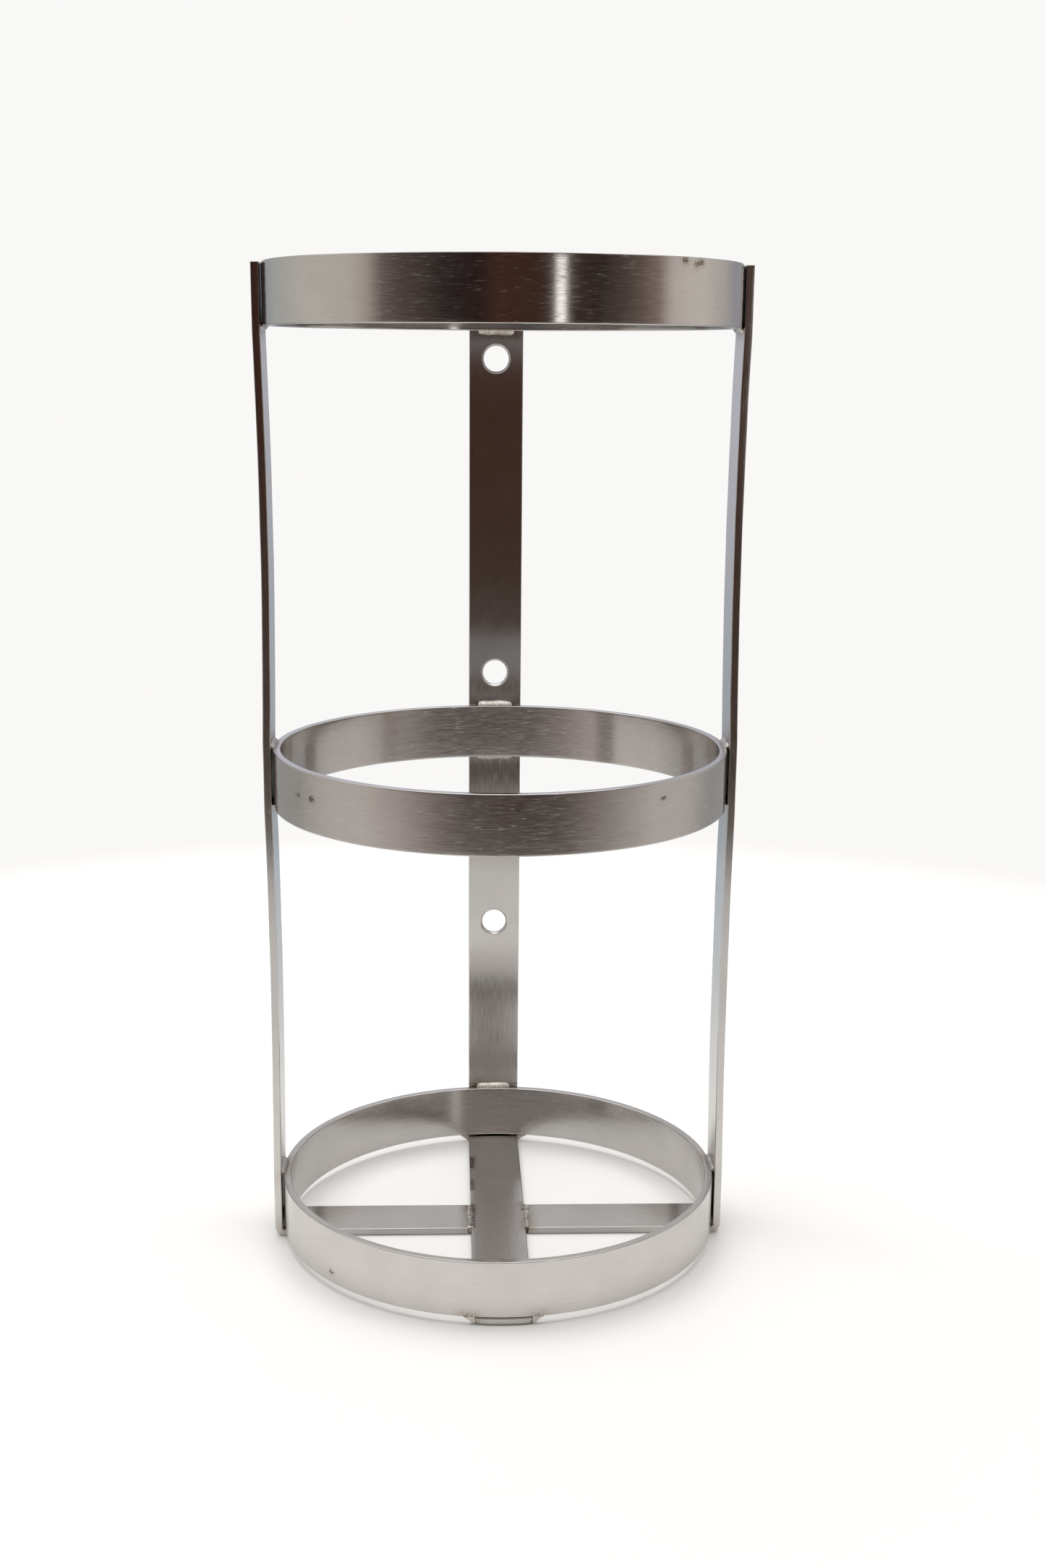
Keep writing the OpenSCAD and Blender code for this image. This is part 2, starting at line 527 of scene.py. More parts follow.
@dataclass(frozen=True)
class WallHole:
    """A drilled hole with a chamfer on both mouths, its corners a little worn.

    Attributes:
        height: height of its axis above the floor.
        radius: radius of the bore.
        chamfer: width of the chamfers.
        worn: radius of the worn corners, drawn with two steps each.
        bore_shares: depths of the bore's own points, as shares of the bar's thickness.
    """

    height: float
    radius: float
    chamfer: float = 1 * MM
    worn: float = 0.12 * MM
    bore_shares: tuple[float, ...] = (0.4, 0.5, 0.6)

    def profile(self, thickness: float) -> np.ndarray:
        """Line from the inner mouth to the outer mouth: chamfer, bore, chamfer.

        Args:
            thickness: of the bar.

        Returns:
            Radius and depth of each point, n by 2.
        """
        mouth, w = self.radius + self.chamfer, self.worn
        # Three points draw each worn corner: before it, on it and past it
        inner = [
            (mouth + w, 0.0),
            (mouth + 0.2 * w, 0.3 * w),
            (mouth - w, w),
            (self.radius + w, self.chamfer - w),
            (self.radius + 0.3 * w, self.chamfer - 0.2 * w),
            (self.radius, self.chamfer + w),
        ]
        middle = [(self.radius, thickness * share) for share in self.bore_shares]
        outer = [(r, thickness - depth) for r, depth in reversed(inner)]
        return np.array(inner + middle + outer)


@dataclass
class Strap:
    """An upright of flat bar, bent under the bottom ring into a floor leg.

    It is drawn standing in the +X direction and turned to its bearing. Distance along the bar runs
    from the top end down the upright, round the bend and along the leg.

    Attributes:
        name: name of the piece.
        node: CAD node that it stands for.
        bearing: direction in which it stands.
        bar: its section.
        height: of the upright's top end above the floor.
        inner: distance of the upright's inner face from the axis.
        leg_end: distance of the leg's end from the axis, below 0 past it.
        bows: the bows of the upright.
        welds: welds and pitted places that mark it.
        seed: chooses its unevenness.
        holes: the wall holes through it.
        bend: inner radius of the bend.
        end_round: radius of the cut ends.
        front_radius: radius in plan that the leg's end is ground to, or 0 for a square end.
        front_corner: how far a ground end is drawn back at its corners.
        front_undercut: how far it leans back at its foot.
        front_share: last share of the leg over which the radius is reached.
        tip_share: last share of the leg over which corners and foot are drawn back.
        step: distance between rows along the bar.
        bend_steps: steps round the bend.
        end_steps: steps round the edge of a cut end.
        mouth_loops: loops of the grid between a hole's mouth and the square round it.
        mouth_crowding: power that crowds those loops towards the mouth.
        bend_bulge: how far the squeezed inner side of the bend bulges sideways.
        waviness: depth of the upright's unevenness.
        shortest_wave: length of the shortest wave in it.
        calm_below: height up to which the upright is even, so that its bend stays true.
        calm_fade: further height over which the unevenness sets in.
    """

    name: str
    node: str
    bearing: Bearing
    bar: FlatBar
    height: float
    inner: float
    leg_end: float
    bows: tuple[Bow, ...]
    welds: tuple[WeldLine, ...]
    seed: int
    holes: tuple[WallHole, ...] = ()
    bend: float = 1.5 * MM
    end_round: float = 0.5 * MM
    front_radius: float = 0.0
    front_corner: float = 2.0 * MM
    front_undercut: float = 1.3 * MM
    front_share: float = 0.2
    tip_share: float = 0.03
    step: float = 2 * MM
    bend_steps: int = 14
    end_steps: int = 4
    mouth_loops: int = 8
    mouth_crowding: float = 1.4
    bend_bulge: float = 0.3 * MM
    waviness: float = 0.04 * MM
    shortest_wave: float = 24 * MM
    calm_below: float = 30 * MM
    calm_fade: float = 60 * MM

    @property
    def bend_start(self) -> float:
        """Distance along the bar at which the bend starts."""
        return self.height - self.bar.thickness - self.bend

    @property
    def bend_length(self) -> float:
        """Length of the bend along the inner face."""
        return self.bend * math.pi / 2

    @property
    def leg_length(self) -> float:
        """Length of the leg from the bend to its end."""
        return self.inner - self.bend - self.leg_end

    @property
    def length(self) -> float:
        """Length of the whole bar along its inner face."""
        return self.bend_start + self.bend_length + self.leg_length

    def last(self, leg: np.ndarray, share: float) -> np.ndarray:
        """Rises from 0 to 1 over the last share of the leg."""
        return np.clip((leg / self.leg_length - (1 - share)) / share, 0, 1)

    def grind(self, leg: np.ndarray, across: np.ndarray, through: np.ndarray) -> np.ndarray:
        """Draws the leg's front end back as if it were ground to follow the ring.

        The end goes back by the sagitta of its radius, by a 9th power of the place across at its
        corners, and by a 1.5th power of the depth below mid-thickness at its foot.

        Args:
            leg: distance along the leg from the bend.
            across: distance from the middle of the width.
            through: distance outwards from the inner face.

        Returns:
            Distances along the leg, of the inputs' shape.
        """
        sagitta = self.front_radius - np.sqrt(self.front_radius**2 - across**2)
        leg = leg - self.last(leg, self.front_share) * sagitta
        tip = self.last(leg, self.tip_share)
        leg = leg - tip * self.front_corner * (2 * np.abs(across) / self.bar.width) ** 9
        return leg - tip * self.front_undercut * np.clip(2 * through / self.bar.thickness - 1, 0, 1) ** 1.5

    def place(self, along: np.ndarray, across: np.ndarray, through: np.ndarray) -> np.ndarray:
        """Bends flat-bar space into place: inner line + through x its outward normal, across on Y.

        The upright's inner line follows the bows and a slight unevenness, the bend is an arc, and the
        leg is level. At the bend the squeezed inner side bulges by a 4th power of the place across.

        Args:
            along: distance from the top end.
            across: distance from the middle of the width.
            through: distance outwards from the inner face.

        Returns:
            Points turned to the strap's bearing, the inputs' shape by 3.
        """
        along, across, through = np.broadcast_arrays(along, across, through)
        upright = np.minimum(along, self.bend_start)
        turned = np.clip((along - self.bend_start) / self.bend_length, 0, 1) * math.pi / 2
        leg = np.maximum(along - self.bend_start - self.bend_length, 0)
        if self.front_radius:
            leg = self.grind(leg, across, through)
        z = self.height - upright
        inset = sum(bow.inset(z) for bow in self.bows)
        uneven = Undulation(self.waviness, self.height, self.shortest_wave, self.seed).at(upright)
        calm = np.clip((z - self.calm_below) / self.calm_fade, 0, 1)
        x = self.inner - inset - self.bend * (1 - np.cos(turned)) - leg + through * np.cos(turned)
        x = x + uneven * calm
        z = z - self.bend * np.sin(turned) - through * np.sin(turned)
        squeezed = np.sin(2 * turned) * (1 - through / self.bar.thickness)
        edgeward = (np.abs(across) / (self.bar.width / 2)) ** 4
        y = across + np.sign(across) * self.bend_bulge * squeezed * edgeward
        return np.stack([x, y, z], -1) @ self.bearing.turn.T

    def sweep(self, skin: Skin, along: np.ndarray, columns: slice, inset: np.ndarray | float = 0.0) -> None:
        """Carries part of the outline along the bar.

        Args:
            skin: gets the grid.
            along: distances along the bar, one a row.
            columns: the part of the outline that is carried.
            inset: how far the outline is drawn in at each row, for rounded ends.
        """
        core, normal = (part[columns] for part in self.bar.outline())
        radius = self.bar.edge - np.broadcast_to(inset, along.shape)[:, None, None]
        point = core[None] + radius * normal[None]
        xyz = self.place(along[:, None], point[..., 0], point[..., 1])
        girth = np.broadcast_to(self.bar.girth()[columns][None, :], xyz.shape[:2])
        run = np.broadcast_to(along[:, None], girth.shape)
        grain = np.stack([run, 0 * run, girth], -1)
        skin.add_grid(xyz, grain, np.stack([run, girth], -1), heat_of(xyz, self.welds))

    def close_end(self, skin: Skin, along: float, towards: float) -> None:
        """Rounds and closes a cut end: quarter-circle rows, then a flat grid over the core.

        Args:
            skin: gets the grids.
            along: where the end is.
            towards: 1 if the bar goes on from here, -1 if it arrives here.
        """
        turns = np.linspace(0, np.pi / 2, self.end_steps + 1)
        rows = along + towards * self.end_round * (1 - np.cos(turns))
        self.sweep(skin, rows, slice(None), self.bar.edge * (1 - np.sin(turns)))
        bar = self.bar
        across = np.linspace(-bar.half_flat, bar.half_flat, bar.broad_steps + 1)[:, None]
        through = np.linspace(bar.edge, bar.thickness - bar.edge, bar.narrow_steps + 1)[None, :]
        xyz = self.place(np.array(along), across, through)
        flat = np.broadcast_to(across, xyz.shape[:2]), np.broadcast_to(through, xyz.shape[:2])
        grain = np.stack([0 * flat[0] + along, flat[1], flat[0]], -1)
        skin.add_grid(xyz, grain, np.stack(flat, -1), heat_of(xyz, self.welds))

    def drill(self, skin: Skin, hole: WallHole, rows: np.ndarray) -> None:
        """Draws both broad faces round a hole and the hole's own wall, as one grid.

        A row of the grid is a closed loop: it starts as the square that the neighbouring grids leave
        open, shrinks to the hole's mouth, goes through the bar and grows to the square again.

        Args:
            skin: gets the grid.
            hole: the hole.
            rows: distances along the bar of the square's side points.
        """
        half, middle = self.bar.half_flat, (rows[0] + rows[-1]) / 2
        side = np.linspace(-half, half, self.bar.broad_steps + 1)
        run = rows - middle
        square = np.concatenate([
            np.stack([np.full(side.size, run[0]), side], -1)[:-1],
            np.stack([run, np.full(run.size, half)], -1)[:-1],
            np.stack([np.full(side.size, run[-1]), side[::-1]], -1)[:-1],
            np.stack([run[::-1], np.full(run.size, -half)], -1),
        ])
        angle = np.arctan2(square[:, 1], square[:, 0])
        circle = np.stack([np.cos(angle), np.sin(angle)], -1)
        line = hole.profile(self.bar.thickness)
        loops_left = np.linspace(1, 0, self.mouth_loops + 1)[:-1]
        shares = (1 - loops_left**self.mouth_crowding)[:, None, None]
        shrink = square[None] * (1 - shares) + circle[None] * line[0, 0] * shares
        wall = circle[None] * line[:, 0, None, None]
        loops = np.concatenate([shrink, wall, shrink[::-1]])
        faces = np.zeros(self.mouth_loops), np.full(self.mouth_loops, self.bar.thickness)
        depth = np.concatenate([faces[0], line[:, 1], faces[1]])
        along = middle + loops[..., 0]
        through = np.broadcast_to(depth[:, None], along.shape)
        xyz = self.place(along, loops[..., 1], through)
        grain = np.stack([along, through, loops[..., 1] + half], -1)
        skin.add_grid(xyz, grain, grain[..., [0, 2]], heat_of(xyz, self.welds))

    def rows(self, start: float, end: float) -> np.ndarray:
        """Evenly spaced places from start to end, about one step apart."""
        return np.linspace(start, end, max(1, round((end - start) / self.step)) + 1)

    def build(self, material: bpy.types.Material) -> bpy.types.Object:
        """Makes the strap.

        Args:
            material: its finish.

        Returns:
            The piece.
        """
        skin = Skin()
        broad, half = self.bar.broad_steps, self.bar.half_flat
        columns = self.bar.girth().size
        edges = (slice(broad, columns // 2 + 1), slice(columns // 2 + broad, columns))
        start = self.end_round
        self.close_end(skin, 0.0, 1)
        for hole in sorted(self.holes, key=lambda hole: -hole.height):
            middle = self.height - hole.height
            self.sweep(skin, self.rows(start, middle - half), slice(None))
            square = np.linspace(middle - half, middle + half, broad + 1)
            for edge in edges:
                self.sweep(skin, square, edge)
            self.drill(skin, hole, square)
            start = middle + half
        self.sweep(skin, self.rows(start, self.bend_start), slice(None))
        bend_end = self.bend_start + self.bend_length
        self.sweep(skin, np.linspace(self.bend_start, bend_end, self.bend_steps + 1), slice(None))
        self.sweep(skin, self.rows(bend_end, self.length - self.end_round), slice(None))
        self.close_end(skin, self.length, -1)
        return stand_in(skin.build(self.name, material), self.node)


@dataclass(frozen=True)
class Ripple:
    """How a weld's surface stacks up from solidified drops.

    Attributes:
        pitch: distance between drops, in metres.
        height: share by which a drop stands over the dip before it.
        sway: share by which the bead's width wanders.
        seed: chooses the wander.
        trail: how many drops the ends of a crescent trail its middle.
        stagger: how many drops the wander moves a crescent along.
        shortest_wander: length of the shortest wave of the wander.
    """

    pitch: float = 1.7 * MM
    height: float = 0.07
    sway: float = 0.12
    seed: int = 1
    trail: float = 0.45
    stagger: float = 0.3
    shortest_wander: float = 5 * MM

    def next(self, number: int) -> "Ripple":
        """The same ripple with another wander, for the bead of that number in a joint."""
        return replace(self, seed=self.seed + number)

    def size(self, run: np.ndarray, across: np.ndarray, length: float) -> np.ndarray:
        """Share of the full size at each point: 1 + crescent-shaped drops + a slow wander.

        A drop's back is |sine|^0.7 along the bead, lowered by about its mean of 0.6.

        Args:
            run: distance along the weld from its middle.
            across: place across the bead from -1 to 1.
            length: of the weld.

        Returns:
            Factors near 1, of the inputs' shape.
        """
        wander = Undulation(1.0, 3 * length, self.shortest_wander, self.seed).at(run)
        phase = run / self.pitch + self.trail * across**2 + self.stagger * wander
        drops = np.abs(np.sin(np.pi * phase)) ** 0.7 - 0.6
        return 1 + self.height * drops + self.sway * wander / 2


@dataclass
class EdgeFillets:
    """The fillet welds between one upright and one ring.

    Attributes:
        name: name of the piece.
        node: CAD node that it stands for.
        bearing: direction of the upright.
        inner: distance of the upright's inner face from the axis.
        edges: height of each welded ring edge, with its side.
        leg: size of the fillet.
        length: of each weld.
        ripple: its surface.
        rise: shape of the face between a chord (1) and a quarter circle (2).
        sunk: how deep its root lies in the joint.
        overrun: where the place across would end if it weren't held at 1 over the root.
        steps: steps along a weld.
        face_steps: steps across its face.
    """

    name: str
    node: str
    bearing: Bearing
    inner: float
    edges: tuple[tuple[float, Side], ...]
    leg: float
    length: float
    ripple: Ripple
    rise: float = 1.35
    sunk: float = 0.35 * MM
    overrun: float = 1.2
    steps: int = 96
    face_steps: int = 12

    def build(self, material: bpy.types.Material) -> bpy.types.Object:
        """Makes the beads.

        The face is a superellipse quadrant |c|^rise + |s|^rise = 1, carried along Y, scaled by the
        ripple and by (1 - t^10)^(1/2) towards the rounded ends, and closed through the sunk root. Its
        place across runs from -1 to 1 and stays there over the root.

        Args:
            material: its finish.

        Returns:
            The piece.
        """
        skin = Skin()
        t = crowded(self.steps)
        turn = np.linspace(0, np.pi / 2, self.face_steps + 1)
        face = np.stack([np.cos(turn), np.sin(turn)], -1) ** (2 / self.rise)
        root = -self.sunk / self.leg
        outline = np.concatenate([[[root, root], [1.0, root]], face, [[root, 1.0], [root, root]]])
        across = np.clip(np.linspace(-self.overrun, self.overrun, len(outline)), -1, 1)[None, :]
        for number, (height, side) in enumerate(self.edges):
            run = t * self.length / 2 + 0 * across
            taper = np.sqrt(np.maximum(1 - t**10, 0))
            size = self.leg * self.ripple.next(number).size(run, across, self.length) * taper
            x = self.inner - outline[None, :, 0] * size
            z = height + side.value * outline[None, :, 1] * size
            xyz = np.stack([x, run, z], -1) @ self.bearing.turn.T
            grain = np.stack([run, x - self.inner, z], -1)
            skin.add_grid(xyz, grain, np.stack([run, across * self.leg + 0 * run], -1), np.ones(run.shape))
        return stand_in(skin.build(self.name, material), self.node)


@dataclass
class FloorFillets:
    """The pair of fillets beside one floor leg, in the corner under the bottom ring.

    Attributes:
        name: name of the piece.
        node: CAD node that it stands for.
        bearing: direction of the leg.
        half_leg: half the width of the leg.
        reach: width of a fillet under the ring.
        low: height of its foot.
        ring_low: height of the ring's lower edge.
        radii: distance from the axis of its inner and outer end.
        ripple: its surface.
        hollow: how far the sloping face sags, as a share of the reach.
        sunk: how deep its root lies in the leg.
        tuck: how far its back lies past the root and the ring's edge, as a share of its size.
        steps: steps along a fillet.
        slope_steps: steps across its sloping face.
    """

    name: str
    node: str
    bearing: Bearing
    half_leg: float
    reach: float
    low: float
    ring_low: float
    radii: tuple[float, float]
    ripple: Ripple
    hollow: float = 0.12
    sunk: float = 0.25 * MM
    tuck: float = 0.05
    steps: int = 28
    slope_steps: int = 12

    def build(self, material: bpy.types.Material) -> bpy.types.Object:
        """Makes the two fillets.

        Each is a triangle in the plane of the ring's tangent and Z, with a sagging rippled slope,
        carried along the radius r: x = sqrt(r^2 - y^2), so that its ends follow the ring. It shrinks
        by (1 - t^8)^(1/2) towards its ends, each of which is closed in one point.

        Args:
            material: its finish.

        Returns:
            The piece.
        """
        skin = Skin()
        share = np.linspace(0, 1, self.slope_steps + 1)
        sag = self.hollow * np.sin(np.pi * share)
        slope = np.stack([share - sag * 0.5, share + sag * 0.5], -1)
        outline = np.concatenate([slope, [[-self.tuck, 1 + self.tuck], [-self.tuck, 0.0], [0.0, 0.0]]])
        ends = np.linspace(-1, 1, self.steps + 1)[:, None]
        puff = np.sqrt(np.maximum(1 - ends**8, 0))
        middle, half = sum(self.radii) / 2, (self.radii[1] - self.radii[0]) / 2
        centre = slope.mean(0)
        for number, hand in enumerate((-1, 1)):
            run = ends * half + 0 * outline[None, :, 0]
            across = np.broadcast_to(np.linspace(-1, 1, len(outline))[None, :], run.shape)
            size = self.ripple.next(number).size(run, across, 2 * half)
            u = centre[0] + (outline[None, :, 0] - centre[0]) * puff * size
            v = centre[1] + (outline[None, :, 1] - centre[1]) * puff
            y = hand * (self.half_leg - self.sunk + u * (self.reach + self.sunk))
            z = self.low + v * (self.ring_low - self.low)
            x = np.sqrt((middle + run) ** 2 - y**2)
            xyz = np.stack([x, y, z], -1)
            xyz[[0, -1]] = xyz[[0, -1]].mean(1, keepdims=True)
            xyz = xyz @ self.bearing.turn.T
            grain = np.stack([run, u * self.reach, v * self.reach], -1)
            skin.add_grid(xyz, grain, grain[..., :2], np.ones(run.shape))
        return stand_in(skin.build(self.name, material), self.node)


@dataclass
class ButtWeld:
    """The weld that joins a side leg's end to the centre leg, dressed nearly flush.

    Attributes:
        name: name of the piece.
        node: CAD node that it stands for.
        bearing: direction of the side leg.
        inner: distance from the axis of the centre leg's side.
        gap: width of the joint.
        half_length: half the length of the weld.
        low: height of its root.
        top: height of the legs' upper face.
        ripple: its surface.
        swells: how much wider the bead is at its -Y and +Y end, before it is turned.
        swell_length: share of the half length that each swelling covers.
        crown: height over the legs.
        lap: how far it laps onto them.
        sunk: how far the crown's own edge lies below the legs' face.
        steps: steps along the weld.
        arc_steps: steps across its crown.
    """

    name: str
    node: str
    bearing: Bearing
    inner: float
    gap: float
    half_length: float
    low: float
    top: float
    ripple: Ripple
    swells: tuple[float, float]
    swell_length: tuple[float, float] = (0.12, 0.12)
    crown: float = 0.28 * MM
    lap: float = 0.55 * MM
    sunk: float = 0.04 * MM
    steps: int = 110
    arc_steps: int = 14

    def build(self, material: bpy.types.Material) -> bpy.types.Object:
        """Makes the weld: a low arc over the joint on a straight root, carried along Y.

        Each end swells by a bell curve of the distance to it, and the whole section is scaled by
        (1 - t^12)^(1/2), which closes both ends.

        Args:
            material: its finish.

        Returns:
            The piece.
        """
        skin = Skin()
        t = crowded(self.steps)
        turn = np.linspace(0, np.pi, self.arc_steps + 1)[None, :]
        run = t * self.half_length + 0 * turn
        size = self.ripple.size(run, np.cos(turn), 2 * self.half_length)
        near = np.exp(-(((1 + t) / self.swell_length[0]) ** 2))
        far = np.exp(-(((1 - t) / self.swell_length[1]) ** 2))
        swell = 1 + self.swells[0] * near + self.swells[1] * far
        taper = np.sqrt(np.maximum(1 - t**12, 0))
        half = (self.gap / 2 + self.lap) * size * swell * taper
        middle = self.inner + self.gap / 2
        crown_x = middle + half * np.cos(turn)
        crown_z = self.top + (self.crown * swell * size * taper) * np.sin(turn) - self.sunk
        root_half = self.gap / 2 * taper
        root_x = np.concatenate([middle - root_half, middle + root_half, crown_x[:, :1]], 1)
        root_z = np.concatenate([np.full((self.steps + 1, 2), self.low), crown_z[:, :1]], 1)
        x, z = np.concatenate([crown_x, root_x], 1), np.concatenate([crown_z, root_z], 1)
        z[[0, -1]] = self.top - self.sunk
        y = np.broadcast_to(t * self.half_length, x.shape)
        xyz = np.stack([x, y, z], -1) @ self.bearing.turn.T
        grain = np.stack([y, x, z], -1)
        skin.add_grid(xyz, grain, grain[..., :2], np.ones(x.shape))
        return stand_in(skin.build(self.name, material), self.node)


@dataclass(frozen=True)
class BrushedStainless:
    """Belt-brushed 304 stainless flat bar.

    The belt leaves fine lines along the bar, so reflections stay crisp along it and smear across it.
    A few deeper scratches scatter light into the dark reflections. Beside the welds the surface is a
    little browned and speckled.

    Attributes:
        name: of the material.
        steel: reflection colour, a warm light grey.
        browned: reflection colour of the heat marks.
        speck: colour of pits and weld specks.
        line_length: length of a brush line in millimetres.
        line_width: spacing of brush lines; real ones are near 0.1 mm, drawn coarser so that they show.
        band_length: length of the belt's broader bands in millimetres.
        band_width: spacing of those bands.
        roughness: mean roughness.
        anisotropy: how much further reflections smear across the lines than along them.
        score_length: length of a deeper scratch in millimetres.
        score_width: spacing of the deeper scratches.
        scoring: their extra roughness.
        scaling: extra roughness at a weld.
        speck_cover: share of the steel's colour that a speck hides.
        line_depth: height of the brush lines in millimetres.
        band_depth: height of the bands in millimetres.
        blotch: size of the faint cloudiness in millimetres.
        speckle: size of pits and specks in millimetres.
    """

    name: str = "belt_brushed_304_stainless"
    steel: str = "#d2cecb"
    browned: str = "#a39482"
    speck: str = "#3a332e"
    line_length: float = 9.0
    line_width: float = 0.55
    band_length: float = 34.0
    band_width: float = 4.0
    roughness: float = 0.15
    anisotropy: float = 0.55
    score_length: float = 5.4
    score_width: float = 0.44
    scoring: float = 0.11
    scaling: float = 0.08
    speck_cover: float = 0.75
    line_depth: float = 0.006
    band_depth: float = 0.07
    blotch: float = 22.0
    speckle: float = 0.9

    def streaks(self, tree: bpy.types.NodeTree, grain: bpy.types.NodeSocket, length: float, width: float,
                detail: float) -> bpy.types.NodeSocket:
        """Noise drawn out along the bar.

        Args:
            tree: the material's nodes.
            grain: the place in brushed space.
            length: of a streak, in millimetres.
            width: of a streak, in millimetres.
            detail: number of finer layers.

        Returns:
            A socket that gives values round 0.5.
        """
        scale = (1 / (length * MM), 1 / (length * MM), 1 / (width * MM))
        place = add_node(tree, "ShaderNodeMapping", {"Vector": grain, "Scale": scale})
        noise = add_node(tree, "ShaderNodeTexNoise", {"Vector": place.outputs[0], "Scale": 1.0,
                                                      "Detail": detail, "Roughness": 0.6})
        return noise.outputs["Fac"]

    def material(self) -> bpy.types.Material:
        """Makes the material: brush lines, bands, scratches, blotches, heat marks and specks.

        Returns:
            The material.
        """
        made = bpy.data.materials.new(self.name)
        tree = empty_nodes(made)
        grain = add_node(tree, "ShaderNodeAttribute", attribute_name=GRAIN).outputs["Vector"]
        heat = add_node(tree, "ShaderNodeAttribute", attribute_name=HEAT).outputs["Fac"]
        place = add_node(tree, "ShaderNodeTexCoord").outputs["Object"]
        lines = self.streaks(tree, grain, self.line_length, self.line_width, 3.0)
        bands = self.streaks(tree, grain, self.band_length, self.band_width, 2.0)
        scores = self.streaks(tree, grain, self.score_length, self.score_width, 0.0)
        blotch = add_node(tree, "ShaderNodeTexNoise", {"Vector": place, "Scale": 1 / (self.blotch * MM),
                                                       "Detail": 3.0, "Roughness": 0.55}).outputs["Fac"]
        speckle = add_node(tree, "ShaderNodeTexNoise", {"Vector": place, "Scale": 1 / (self.speckle * MM),
                                                        "Detail": 2.0, "Roughness": 0.6}).outputs["Fac"]
        shade = add_node(tree, "ShaderNodeMapRange", {"Value": lines, "From Min": 0.3, "From Max": 0.7,
                                                      "To Min": 0.95, "To Max": 1.04})
        cloud = add_node(tree, "ShaderNodeMapRange", {"Value": blotch, "From Min": 0.3, "From Max": 0.7,
                                                      "To Min": 0.96, "To Max": 1.03})
        tone = add_node(tree, "ShaderNodeMath", {0: shade.outputs[0], 1: cloud.outputs[0]},
                        operation="MULTIPLY")
        patchy = add_node(tree, "ShaderNodeMapRange", {"Value": blotch, "From Min": 0.35, "From Max": 0.62,
                                                       "To Min": 0.1, "To Max": 0.8})
        brown = add_node(tree, "ShaderNodeMath", {0: heat, 1: patchy.outputs[0]}, operation="MULTIPLY",
                         use_clamp=True)
        steel = add_node(tree, "ShaderNodeMix", {"Factor": brown.outputs[0], "A": linear(self.steel),
                                                 "B": linear(self.browned)}, data_type="RGBA")
        toned = add_node(tree, "ShaderNodeVectorMath", {0: steel.outputs["Result"], "Scale": tone.outputs[0]},
                         operation="SCALE")
        crowd = add_node(tree, "ShaderNodeMapRange", {"Value": heat, "From Min": 0.5, "From Max": 1.4,
                                                      "To Min": 0.0, "To Max": 0.22})
        pitted = add_node(tree, "ShaderNodeMath", {0: speckle, 1: crowd.outputs[0]}, operation="ADD")
        pits = add_node(tree, "ShaderNodeMapRange", {"Value": pitted.outputs[0], "From Min": 0.66,
                                                     "From Max": 0.72})
        specks = add_node(tree, "ShaderNodeMath", {0: heat, 1: pits.outputs[0]}, operation="MULTIPLY",
                          use_clamp=True)
        faint = add_node(tree, "ShaderNodeMath", {0: specks.outputs[0], 1: self.speck_cover},
                         operation="MULTIPLY")
        colour = add_node(tree, "ShaderNodeMix", {"Factor": faint.outputs[0], "A": toned.outputs[0],
                                                  "B": linear(self.speck)}, data_type="RGBA")
        rough = add_node(tree, "ShaderNodeMapRange", {"Value": lines, "From Min": 0.3, "From Max": 0.7,
                                                      "To Min": self.roughness - 0.03,
                                                      "To Max": self.roughness + 0.04})
        scored = add_node(tree, "ShaderNodeMapRange", {"Value": scores, "From Min": 0.66, "From Max": 0.8,
                                                       "To Min": 0.0, "To Max": self.scoring})
        rough = add_node(tree, "ShaderNodeMath", {0: rough.outputs[0], 1: scored.outputs[0]}, operation="ADD")
        rough = add_node(tree, "ShaderNodeMath", {0: heat, 1: self.scaling, 2: rough.outputs[0]},
                         operation="MULTIPLY_ADD")
        wavy = add_node(tree, "ShaderNodeBump", {"Height": bands, "Strength": 0.5,
                                                 "Distance": self.band_depth * MM})
        lined = add_node(tree, "ShaderNodeBump", {"Height": lines, "Strength": 0.5,
                                                  "Distance": self.line_depth * MM,
                                                  "Normal": wavy.outputs[0]})
        tangent = add_node(tree, "ShaderNodeTangent", direction_type="UV_MAP", uv_map=BRUSH_UV)
        shader = add_node(tree, "ShaderNodeBsdfPrincipled", {
            "Base Color": colour.outputs["Result"], "Metallic": 1.0, "Roughness": rough.outputs[0],
            "Anisotropic": self.anisotropy, "Anisotropic Rotation": 0.25,
            "Normal": lined.outputs[0], "Tangent": tangent.outputs[0]})
        add_node(tree, "ShaderNodeOutputMaterial", {"Surface": shader.outputs[0]})
        return made


